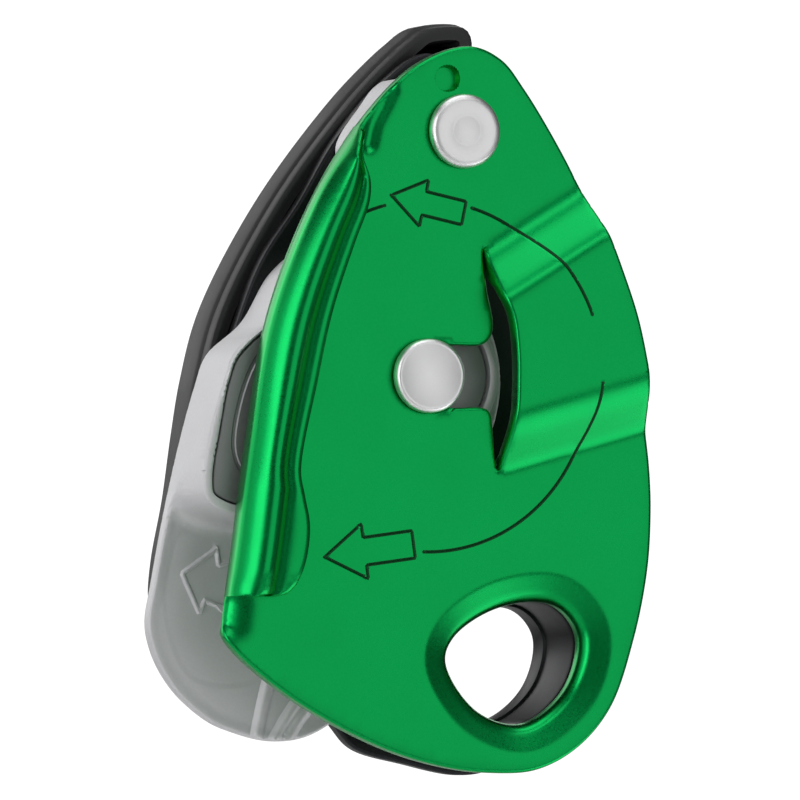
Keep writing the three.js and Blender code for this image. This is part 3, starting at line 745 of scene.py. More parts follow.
@dataclass
class PressedSheet:
    """A sheet of metal whose front and back are height fields over one outline.

    The sheet is filled with triangles between its rim, its holes and the rings that its
    roundings and pressed shapes need, so every bend has its own edge loops.
    """

    rim: Loop
    holes: list[Loop] = field(default_factory=list)
    rounding: float = 0.45
    fill: float = 1.3
    details: list[Loop] = field(default_factory=list)
    crowd: float = 0.07

    def rounding_rings(self) -> list[Loop]:
        """Rings beside the rim and the holes that carry the rounded edge.

        Returns:
            The rings, those of the rim first.
        """
        shares = (0.076, 0.293, 0.617, 1.0)
        rings = [grown(self.rim, -self.rounding * s) for s in shares]
        for hole in self.holes:
            rings += [grown(hole, self.rounding * s) for s in shares]
        return rings

    def covers(self, places: Loop) -> np.ndarray:
        """True for every place on the sheet, away from its holes.

        Args:
            places: places of the X-Z plane, one row each.

        Returns:
            One truth value for each place.
        """
        on_sheet = inside(places, self.rim)
        for hole in self.holes:
            on_sheet &= ~inside(places, hole)
        return on_sheet

    def points(self) -> Loop:
        """All places that become vertices, without those that crowd each other.

        Returns:
            The places, those of the rim and the holes first.
        """
        edges = [self.rim, *self.holes]
        rings = [ring for ring in self.rounding_rings() if len(ring)]
        placed = np.vstack(edges + rings)
        for detail in self.details:
            if len(detail):
                apart = nearest(detail, placed) > self.crowd
                placed = np.vstack([placed, detail[apart]])
        low, high = self.rim.min(axis=0), self.rim.max(axis=0)
        xs = np.arange(low[0], high[0], self.fill)
        zs = np.arange(low[1], high[1], self.fill * 0.87)
        grid = np.array([(x + (k % 2) * self.fill / 2, z) for k, z in enumerate(zs) for x in xs])
        clear = nearest(grid, placed) > self.fill * 0.55
        placed = np.vstack([placed, grid[clear]])
        valid = self.covers(placed)
        valid[:sum(len(loop) for loop in edges)] = True
        return placed[valid]

    def build(
        self, name: str, front: Callable[[Loop], np.ndarray], back: Callable[[Loop], np.ndarray],
    ) -> bpy.types.Object:
        """Makes the sheet.

        Args:
            name: name of the new object.
            front: gives the depth of the front face at places of the X-Z plane.
            back: gives the depth of the back face.

        Returns:
            The new object.
        """
        points = self.points()
        edges, start = [], 0
        for loop in (self.rim, *self.holes):
            count = len(loop)
            edges += [(start + i, start + (i + 1) % count) for i in range(count)]
            start += count
        out = delaunay_2d_cdt([Vector(p) for p in points], edges, [], 0, 1e-5, False)
        places = np.array([list(v) for v in out[0]])
        triangles = np.array(out[2])
        centres = places[triangles].mean(axis=1)
        triangles = triangles[self.covers(centres)]
        gap = np.min([away(places, loop, True) for loop in (self.rim, *self.holes)], axis=0)
        near = np.clip(self.rounding - gap, 0, self.rounding)
        drop = self.rounding - np.sqrt(self.rounding ** 2 - near ** 2)
        front_depth = front(places) + drop
        back_depth = back(places) - drop
        return self.skin(name, places, triangles, front_depth, back_depth)

    def skin(
        self, name: str, places: Loop, triangles: np.ndarray, front: np.ndarray, back: np.ndarray,
    ) -> bpy.types.Object:
        """Joins the two faces of the sheet by the walls along its edges.

        Args:
            name: name of the new object.
            places: its vertices in the X-Z plane.
            triangles: rows of three vertex numbers.
            front: depth of the front face at each vertex.
            back: depth of the back face.

        Returns:
            The new object.
        """
        count = len(places)
        lower = np.stack([places[:, 0], front, places[:, 1]], axis=1)
        upper = np.stack([places[:, 0], back, places[:, 1]], axis=1)
        seen: dict[tuple[int, int], tuple[int, int]] = {}
        for a, b, c in triangles:
            for p, q in ((a, b), (b, c), (c, a)):
                key = (min(p, q), max(p, q))
                if key in seen:
                    seen[key] = (-1, -1)
                else:
                    seen[key] = (int(p), int(q))
        walls = [(p, q, q + count, p + count) for p, q in seen.values() if p >= 0]
        faces = [tuple(int(i) for i in t) for t in triangles]
        faces += [(int(c) + count, int(b) + count, int(a) + count) for a, b, c in triangles]
        faces += [(d, c, b, a) for a, b, c, d in walls]
        mesh = bpy.data.meshes.new(name)
        mesh.from_pydata((np.vstack([lower, upper]) * MM).tolist(), [], faces)
        piece = bpy.data.objects.new(name, mesh)
        bpy.context.scene.collection.objects.link(piece)
        settle(piece, angle=38.0)
        return piece


# ------------------------------------------------------------------ finishes


def linear(hex_colour: str) -> tuple[float, float, float, float]:
    """An sRGB hex colour as linear values.

    Args:
        hex_colour: six hexadecimal digits, with or without #.

    Returns:
        Red, green, blue and an alpha of 1.
    """
    digits = hex_colour.lstrip("#")
    parts = [int(digits[i:i + 2], 16) / 255 for i in (0, 2, 4)]
    light = [p / 12.92 if p <= 0.04045 else ((p + 0.055) / 1.055) ** 2.4 for p in parts]
    return (*light, 1.0)


def add_node(
    tree: bpy.types.NodeTree, kind: str, settings: dict | None = None,
    links: dict | None = None, **fields: object,
) -> bpy.types.Node:
    """Adds a node with its settings and links.

    Args:
        tree: the tree that gets the node.
        kind: the node's type name.
        settings: values of input sockets, by name or number.
        links: output sockets to connect, by input name or number.
        fields: properties of the node itself.

    Returns:
        The new node.
    """
    node = tree.nodes.new(kind)
    for key, value in fields.items():
        setattr(node, key, value)
    for key, value in (settings or {}).items():
        node.inputs[key].default_value = value
    for key, socket in (links or {}).items():
        tree.links.new(socket, node.inputs[key])
    return node


@dataclass(frozen=True)
class Finish:
    """A surface finish: a base colour, gloss, and grain drawn at its real size.

    grain_mm is the size of the surface's grain, bump_mm how far it stands out, and
    blotch_mm the size of the slow change in gloss that handling leaves.
    """

    name: str
    colour: str
    worn_colour: str
    metallic: float
    roughness: float
    roughness_spread: float = 0.06
    grain_mm: float = 0.25
    bump_mm: float = 0.004
    blotch_mm: float = 14.0
    colour_spread: float = 0.25
    coat: float = 0.0
    wear: float = 0.5

    def material(self) -> bpy.types.Material:
        """Builds the material.

        Returns:
            The new material, with its nodes.
        """
        made = bpy.data.materials.new(self.name)
        made.use_nodes = True
        tree = made.node_tree
        tree.nodes.clear()
        place = add_node(tree, "ShaderNodeTexCoord")
        blotch = add_node(
            tree, "ShaderNodeTexNoise", {"Scale": 1 / (self.blotch_mm * MM), "Detail": 3.0},
            {"Vector": place.outputs["Object"]},
        )
        grain = add_node(
            tree, "ShaderNodeTexNoise",
            {"Scale": 1 / (self.grain_mm * MM), "Detail": 4.0, "Roughness": 0.6},
            {"Vector": place.outputs["Object"]},
        )
        gloss = add_node(
            tree, "ShaderNodeMapRange",
            {"From Min": 0.3, "From Max": 0.7, "To Min": self.roughness - self.roughness_spread,
             "To Max": self.roughness + self.roughness_spread},
            {"Value": blotch.outputs["Fac"]},
        )
        fine = add_node(
            tree, "ShaderNodeMapRange",
            {"From Min": 0.3, "From Max": 0.7, "To Min": -0.03, "To Max": 0.03},
            {"Value": grain.outputs["Fac"]},
        )
        total = add_node(
            tree, "ShaderNodeMath",
            links={0: gloss.outputs["Result"], 1: fine.outputs["Result"]}, operation="ADD",
        )
        shade = add_node(
            tree, "ShaderNodeMapRange",
            {"From Min": 0.35, "From Max": 0.65, "To Min": 0.0, "To Max": self.colour_spread},
            {"Value": grain.outputs["Fac"]},
        )
        edge = add_node(tree, "ShaderNodeNewGeometry")
        worn = add_node(
            tree, "ShaderNodeMapRange",
            {"From Min": 0.53, "From Max": 0.62, "To Min": 0.0, "To Max": self.wear},
            {"Value": edge.outputs["Pointiness"]},
        )
        both = add_node(
            tree, "ShaderNodeMath",
            links={0: shade.outputs["Result"], 1: worn.outputs["Result"]},
            operation="ADD", use_clamp=True,
        )
        colour = add_node(
            tree, "ShaderNodeMix", links={"Factor": both.outputs["Value"]}, data_type="RGBA",
        )
        colour.inputs[6].default_value = linear(self.colour)
        colour.inputs[7].default_value = linear(self.worn_colour)
        bump = add_node(
            tree, "ShaderNodeBump", {"Strength": 0.6, "Distance": self.bump_mm * MM},
            {"Height": grain.outputs["Fac"]},
        )
        shader = add_node(
            tree, "ShaderNodeBsdfPrincipled",
            {"Metallic": self.metallic, "Coat Weight": self.coat, "Coat Roughness": 0.2},
            {"Base Color": colour.outputs[2], "Roughness": total.outputs["Value"],
             "Normal": bump.outputs["Normal"]},
        )
        add_node(tree, "ShaderNodeOutputMaterial", links={"Surface": shader.outputs["BSDF"]})
        return made


# Green anodised aluminium, pressed from sheet and bead blasted before dyeing: a deep even
# colour with soft, slightly grainy reflections that pale where light meets the bends.
GREEN_ANODISED = Finish(
    "green_anodised_aluminium", "#00A24C", "#12B45C", 1.0, 0.3, 0.03, grain_mm=0.35,
    bump_mm=0.0015, colour_spread=0.25, wear=0.15, coat=0.1,
)
# The same green where a laser has cut through the dyed skin: dark and dull.
ENGRAVED_GREEN = Finish(
    "laser_engraved_green", "#004A22", "#00602C", 0.6, 0.6, 0.04, grain_mm=0.2, wear=0.0,
)
# Black anodised aluminium: the same surface, dyed black, a little duller.
BLACK_ANODISED = Finish(
    "black_anodised_aluminium", "#232426", "#3A3B3E", 0.8, 0.4, 0.05, bump_mm=0.003,
)
# Glass-filled nylon, moulded: dull black with a fine spark-eroded texture.
BLACK_NYLON = Finish(
    "glass_filled_nylon", "#1B1B1D", "#2E2E31", 0.0, 0.5, 0.05, grain_mm=0.3, bump_mm=0.012,
)
# Stainless steel pressings and rivets, tumbled: soft grey with blurred reflections.
TUMBLED_STEEL = Finish(
    "tumbled_stainless_steel", "#EFEFF0", "#F6F6F7", 1.0, 0.38, 0.05, grain_mm=0.3,
    bump_mm=0.004,
)
# Investment-cast stainless steel, blasted: an even matt grey with visible grain.
CAST_STEEL = Finish(
    "cast_stainless_steel", "#D6D6D8", "#E8E8E9", 0.8, 0.68, 0.04, grain_mm=0.4,
    bump_mm=0.012,
)
# Heat-treated steel lid, blasted: dark grey and dull.
DARK_STEEL = Finish(
    "heat_treated_steel", "#9B9B9D", "#ADADAF", 1.0, 0.6, 0.05, grain_mm=0.4, bump_mm=0.008,
)
# Sintered bronze bush: warm and slightly porous.
SINTERED_BRONZE = Finish(
    "sintered_bronze", "#8E6F45", "#A88A5C", 1.0, 0.42, 0.05, grain_mm=0.5, bump_mm=0.01,
)
# Spring steel wire, drawn: bright and nearly smooth.
SPRING_STEEL = Finish(
    "drawn_spring_steel", "#8D8F93", "#A9ABAF", 1.0, 0.28, 0.05, bump_mm=0.002,
)
# Soft moulded elastomer: matt, slightly lighter than the nylon round it.
GRIP_RUBBER = Finish(
    "moulded_elastomer", "#2A2B2D", "#3A3B3E", 0.0, 0.72, 0.05, grain_mm=0.4, bump_mm=0.01,
)


@dataclass
class Workshop:
    """Puts finished pieces on their bodies and keeps one material per finish."""

    materials: dict[str, bpy.types.Material] = field(default_factory=dict)

    def paint(self, piece: bpy.types.Object, finish: Finish) -> None:
        """Gives a piece one finish.

        Args:
            piece: the mesh object.
            finish: its surface finish.
        """
        if finish.name not in self.materials:
            self.materials[finish.name] = finish.material()
        piece.data.materials.clear()
        piece.data.materials.append(self.materials[finish.name])

    def fit(
        self, piece: bpy.types.Object, finish: Finish, body: Body,
        stands_for: Sequence[str] = (),
    ) -> None:
        """Dresses a piece and fixes it to its body.

        Args:
            piece: the new mesh object.
            finish: its surface finish.
            body: the body that it rides on.
            stands_for: CAD nodes that it replaces.
        """
        self.paint(piece, finish)
        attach(piece, body.value)
        if stands_for:
            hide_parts(*stands_for)
        LOG.info("%s: %d faces on %s", piece.name, len(piece.data.polygons), body.value)

    def dress_node(self, node: str, finish: Finish) -> None:
        """Gives a CAD node that stays its finish."""
        self.paint(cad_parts[node], finish)
        LOG.info("%s keeps its CAD shape", node)


# ------------------------------------------------------------------ swinging side plate


@dataclass
class SwingPlate:
    """The green plate in front, with its hem, tunnel, slot, dimple and flared eye."""

    left_edge: tuple[Pair, ...] = (
        (-42.0, 5.4), (-41.5, 9.5), (-40.6, 16), (-38.8, 29.5), (-35.6, 47), (-29.4, 62.5),
        (-22.4, 73.4), (-14.2, 81.5),
    )
    right_edge: tuple[Pair, ...] = (
        (-6.7, 84.1), (-2.1, 82.4), (1.3, 78.4), (6.3, 70.7), (9.3, 65.2), (11.4, 60),
        (13.8, 54), (16.1, 47.5), (17.6, 41), (18.5, 35.5), (19.2, 31), (19.7, 26.5),
        (19.9, 21), (19.4, 13), (17.4, 3.5), (13.9, -6), (9.0, -11.5), (3.0, -14.5),
    )
    bottom_edge: tuple[Pair, ...] = (
        (-4.0, -14.9), (-11.5, -13.9), (-20.0, -11.3), (-31.0, -5.8), (-38.5, -0.5),
        (-41.2, 2.1), (-42.2, 3.6),
    )
    eye: tuple[Pair, ...] = (
        (-9.5, 0.2), (-8.2, 3.6), (-1.6, 7.6), (6.3, 8.0), (9.9, 3.9), (8.2, -3.3), (1.6, -8.2),
        (-5.0, -6.4),
    )
    slit: tuple[Pair, ...] = (
        (-4.4, 34.7), (-3.7, 34.0), (-3.4, 32.4), (-3.1, 28.2), (-2.75, 26.4), (-2.5, 28.2),
        (-2.2, 30.8), (-1.8, 34.4), (-1.65, 38), (-1.7, 42), (-2.3, 46.9), (-3.6, 50.3),
        (-4.35, 53.6), (-4.8, 56.4), (-4.7, 54), (-4.1, 50.3), (-3.3, 46.2), (-3.7, 44.4),
        (-4.9, 43.4),
    )
    slit_heights: tuple[float, ...] = (24.8, 30, 38, 47, 50.3, 56.4)
    slit_middles: tuple[float, ...] = (-2.6, -2.6, -2.4, -2.8, -3.85, -4.8)
    slot_half: float = 4.25
    tunnel_rise: float = 4.8
    crease_top: tuple[Pair, Pair] = ((-4.25, 56.4), (9.1, 64.4))
    shoulder_top: tuple[Pair, Pair] = ((-3.1, 49.4), (10.5, 57.8))
    shoulder_low: tuple[Pair, Pair] = ((-1.9, 32.8), (16.4, 38.0))
    crease_low: tuple[Pair, Pair] = ((-2.4, 25.9), (18.9, 32.0))
    dimple: tuple[float, float, float] = (-10.05, 79.6, 1.8)
    dimple_depth: float = 1.4
    flare_width: float = 4.0
    flare_depth: float = 1.35
    pivot_hole: float = 3.3
    groove_half: float = 0.24
    groove_depth: float = 0.22
    rope_circle: float = 23.9
    rope_arcs: tuple[Pair, ...] = ((105, 113), (21, 74), (-91, -2))
    pocket: tuple[Pair, ...] = ((-18.4, 77.8), (-19.4, 75.8), (-20.8, 73.2), (-21.5, 70.4))
    pocket_depth: float = 0.55
    pocket_half: float = 1.05

    def outline(self) -> Loop:
        """The plate's rim."""
        return spline([*self.left_edge, *self.right_edge, *self.bottom_edge], 0.55, True)

    def window(self) -> Loop:
        """The slot round the axle and the slit of the tunnel, as one hole.

        Returns:
            Points of its outline.
        """
        neck = arc(AXLE, self.slot_half, 90, 270, 0.5)
        path = spline([(-9, 34.75), *self.slit, (-9, 43.25)], 0.35, False)
        return np.vstack([neck, path])

    def grooves(self) -> list[Loop]:
        """Engraved lines: the rope's way round the cam, and a plain arrow at each end.

        Returns:
            One path for each engraved line.
        """
        lines = [
            arc(AXLE, self.rope_circle, start, stop, 0.3) for start, stop in self.rope_arcs
        ]
        return lines + [
            self.arrow((-13.0, 62.4), 168, 10.8, 6.5), self.arrow((-21.5, 15.2), 188, 13, 7.5),
        ]

    def arrow(self, centre: Pair, heading: float, length: float, width: float) -> Loop:
        """Outline of a plain arrow.

        Args:
            centre: its middle.
            heading: direction that it points in, in degrees.
            length: from tail to tip.
            width: across the head.

        Returns:
            A closed path of evenly spaced points.
        """
        half, head = length / 2, length * 0.45
        shaft = width * 0.25
        corners = np.array([
            (half, 0), (half - head, width / 2), (half - head, shaft), (-half, shaft),
            (-half, -shaft), (half - head, -shaft), (half - head, -width / 2), (half, 0),
        ])
        angle = math.radians(heading)
        turn = np.array([[math.cos(angle), math.sin(angle)], [-math.sin(angle), math.cos(angle)]])
        return even(corners @ turn + np.array(centre), 0.3, False)

    def rise(self, places: Loop) -> np.ndarray:
        """How far the tunnel stands out of the plate at places, right of its slit.

        Args:
            places: places of the X-Z plane, one row each.

        Returns:
            One height for each place.
        """
        below_crease = -side_of(places, *self.crease_top)
        above_shoulder = side_of(places, *self.shoulder_top)
        share = below_crease / np.maximum(below_crease + above_shoulder, 1.0)
        upper = rounded_ramp(share, foot=0.3, head=0.2)
        above_crease = side_of(places, *self.crease_low)
        below_shoulder = -side_of(places, *self.shoulder_low)
        share = above_crease / np.maximum(above_crease + below_shoulder, 1.0)
        lower = rounded_ramp(share, foot=0.15, head=0.4)
        slant = np.interp(places[:, 1], self.slit_heights, self.slit_middles)
        east = np.clip((places[:, 0] - slant + 0.15) / 0.3, 0, 1)
        return self.tunnel_rise * upper * lower * east

    def pressed(self, places: Loop) -> np.ndarray:
        """Depth added by the eye's flare, the rolled corner and the pocket over the hem.

        Args:
            places: places of the X-Z plane, one row each.

        Returns:
            One height for each place.
        """
        eye_gap = away(places, spline(self.eye, 0.6, True), True)
        cone = self.flare_depth * rounded_ramp(1 - eye_gap / self.flare_width, 0.1, 0.1)
        throat = 0.75 * np.clip(1 - eye_gap / 1.3, 0, 1) ** 2
        edge_gap = away(places, spline(self.left_edge[:4], 0.6, False), False)
        low_end = np.clip((12.0 - places[:, 1]) / 4.0, 0, 1)
        roll = 1.7 * np.clip(1 - edge_gap / 5.2, 0, 1) ** 2.2 * low_end
        pocket_gap = away(places, spline(self.pocket, 0.4, False), False)
        pocket = self.pocket_depth * np.exp(-(pocket_gap / self.pocket_half) ** 2)
        return cone + throat + roll + pocket

    def front(self, places: Loop) -> np.ndarray:
        """Depth of the outer face.

        Args:
            places: places of the X-Z plane, one row each.

        Returns:
            One depth for each place.
        """
        depth = PLATE_FRONT - self.rise(places) + self.pressed(places)
        centre = np.array(self.dimple[:2])
        from_dimple = np.linalg.norm(places - centre, axis=1)
        wall = np.clip((self.dimple[2] - from_dimple) / 0.22, 0, 1)
        depth += self.dimple_depth * wall
        for line in self.grooves():
            gap = away(places, line, False)
            depth += self.groove_depth * np.clip(1 - gap / self.groove_half, 0, 1)
        return depth

    def back(self, places: Loop) -> np.ndarray:
        """Depth of the inner face.

        Args:
            places: places of the X-Z plane, one row each.

        Returns:
            One depth for each place.
        """
        depth = PLATE_BACK - self.rise(places)
        centre = np.array(self.dimple[:2])
        from_dimple = np.linalg.norm(places - centre, axis=1)
        boss = np.clip((self.dimple[2] + 0.6 - from_dimple) / 0.5, 0, 1)
        eye_gap = away(places, spline(self.eye, 0.6, True), True)
        cone = 1.4 * rounded_ramp(1 - eye_gap / self.flare_width, 0.1, 0.1)
        return depth + cone + (self.dimple_depth - 0.3) * boss

    def detail_rings(self) -> list[Loop]:
        """Places that the pressed shapes and engraved lines need.

        Returns:
            Rings, lines and grids of places.
        """
        eye = spline(self.eye, 0.6, True)
        flare = (0.7, 1.0, 1.35, 1.9, 2.5, 3.1, 3.5, 3.8, 4.1, 4.4, 4.9)
        rings = [grown(eye, distance) for distance in flare]
        x, z, radius = self.dimple
        wall = (-0.6, -0.23, -0.11, 0.0, 0.12, 0.35, 0.6, 1.0)
        rings += [circle((x, z), radius + distance, 0.4) for distance in wall]
        half = self.groove_half
        for line in self.grooves():
            rings += beside(line, (0.0, half, -half, 1.6 * half, -1.6 * half))
            rings += [circle(line[end], self.groove_half * 1.2, 0.2) for end in (0, -1)]
        xs = np.arange(-5, 19, 0.8)
        ramps = ((self.crease_top, self.shoulder_top), (self.crease_low, self.shoulder_low))
        for start, stop in np.array(ramps):
            for share in np.linspace(-0.4, 1.45, 18):
                a, b = start * (1 - share) + stop * share
                zs = a[1] + (b[1] - a[1]) * (xs - a[0]) / (b[0] - a[0])
                rings.append(np.stack([xs, zs], axis=1))
        pocket_x, pocket_z = np.arange(-24, -15.5, 0.4), np.arange(66, 80, 0.4)
        corner_x, corner_z = np.arange(-42.2, -35, 0.5), np.arange(-2, 13, 0.7)
        for across, up in ((pocket_x, pocket_z), (corner_x, corner_z)):
            rings.append(np.array([(x, z) for x in across for z in up]))
        return rings

    def plate(self) -> bpy.types.Object:
        """Builds the pressed plate without its hem.

        Returns:
            The new object.
        """
        holes = [
            spline(self.eye, 0.6, True), circle(PIVOT, self.pivot_hole, 0.5), self.window(),
        ]
        sheet = PressedSheet(self.outline(), holes, 0.5, 1.4, self.detail_rings())
        return sheet.build("swing_plate_sheet", self.front, self.back)

    def build(self, shop: Workshop) -> None:
        """Builds the plate and its hem and fixes them to the swinging body.

        Args:
            shop: the workshop that takes the pieces.
        """
        plate = self.plate()
        hem = Hem().build()
        select_only(plate)
        hem.select_set(True)
        bpy.ops.object.join()
        plate.name = "swing_plate"
        shop.fit(plate, GREEN_ANODISED, Body.FRONT_PLATE, ["moving_side_plate"])
        self.darken_marks(plate)

    def darken_marks(self, plate: bpy.types.Object) -> None:
        """Gives the bottoms of the engraved lines their darker finish.

        Args:
            plate: the swinging plate.
        """
        plate.data.materials.append(ENGRAVED_GREEN.material())
        centres = np.array([face.center for face in plate.data.polygons]) / MM
        flat = centres[:, [0, 2]]
        gap = np.min([away(flat, line, False) for line in self.grooves()], axis=0)
        outside = centres[:, 1] < (PLATE_FRONT + PLATE_BACK) / 2 - self.rise(flat)
        marked = (gap < 0.8 * self.groove_half) & outside
        for face in np.flatnonzero(marked):
            plate.data.polygons[int(face)].material_index = 1


@dataclass
class Hem:
    """The left edge of the plate, folded over itself into a bead that the rope runs on."""

    outer: tuple[Pair, ...] = (
        (-41.8, 8.9), (-40.7, 16), (-38.9, 29.5), (-35.7, 47), (-29.5, 62.5), (-24.7, 70.4),
        (-22.9, 72.9),
    )
    free: tuple[Pair, ...] = (
        (-33.2, 8.9), (-31.2, 13.6), (-30.6, 18.5), (-31.3, 22.4), (-31.9, 26), (-29.5, 38.1),
        (-27.3, 47.6), (-24.1, 56.9), (-22.0, 62.5), (-21.9, 65.5), (-22.9, 68.6), (-22.3, 72.0),
    )
    stations: int = 130
    full_width: float = 8.3
    corner: float = 2.2
    length: float = 62.0
    bead: float = 3.55
    flange: float = 2.1

    def section(self, width: float, fade: float, end: float) -> np.ndarray:
        """The folded section at one station.

        Args:
            width: from the outer edge to the free edge.
            fade: 1 for the full bead, 0 where it has sunk into the plate.
            end: 1 away from the lower end, less where the end is rounded off.

        Returns:
            Pairs of distance from the outer edge and height over the plate's face.
        """
        bead = self.bead * fade * end
        flange = self.flange * (0.35 + 0.65 * fade) * end
        wall = [(0.0, -1.0), (0.0, 0.06 * bead), (0.12, 0.25 * bead), (0.45, 0.43 * bead)]
        facet = [(0.9, 0.58 * bead), (1.4, 0.7 * bead), (1.95, 0.82 * bead), (2.5, 0.92 * bead)]
        crest = [
            (3.1, 0.985 * bead), (3.7, bead), (4.3, 0.97 * bead), (4.8, 0.88 * bead),
            (5.2, 0.76 * bead),
        ]
        valley = flange - 0.35 * fade
        dip = [(5.6, valley + 0.3), (6.0, valley), (6.45, valley + 0.15), (6.9, flange)]
        edge = [
            (width - 0.9, flange), (width - 0.45, flange - 0.08), (width - 0.15, flange - 0.3),
            (width, flange - 0.65), (width, 0.12), (width - 0.4, -0.15),
        ]
        under = [(4.0, -0.4), (2.0, -2.2), (0.9, -2.65), (0.35, -2.5), (0.08, -2.1)]
        return np.array([*wall, *facet, *crest, *dip, *edge, *under])

    def build(self) -> bpy.types.Object:
        """Builds the hem as a loft of its section.

        Returns:
            The new object.
        """
        outer = spline(self.outer, 0.3, False)
        free = spline(self.free, 0.3, False)
        rings = []
        for share in np.linspace(0, 1, self.stations):
            a = outer[int(share * (len(outer) - 1))]
            b = free[int(share * (len(free) - 1))]
            width = float(np.linalg.norm(b - a))
            across = (b - a) / width
            end = min(1.0, 0.82 + 3.24 * share)
            fade = math.sqrt(min(1.0, (1 - share) / 0.07))
            corner = max(0.0, 1 - self.length * share / self.corner)
            width -= self.corner * (1 - math.sqrt(1 - corner ** 2))
            scale = min(1.0, width / self.full_width)
            section = self.section(max(width, self.full_width), fade, end)
            section[:, 0] *= scale
            flat = a + section[:, :1] * across
            rings.append(np.stack([flat[:, 0], PLATE_FRONT - section[:, 1], flat[:, 1]], axis=1))
        return loft("hem", rings)


# ------------------------------------------------------------------ fixed side


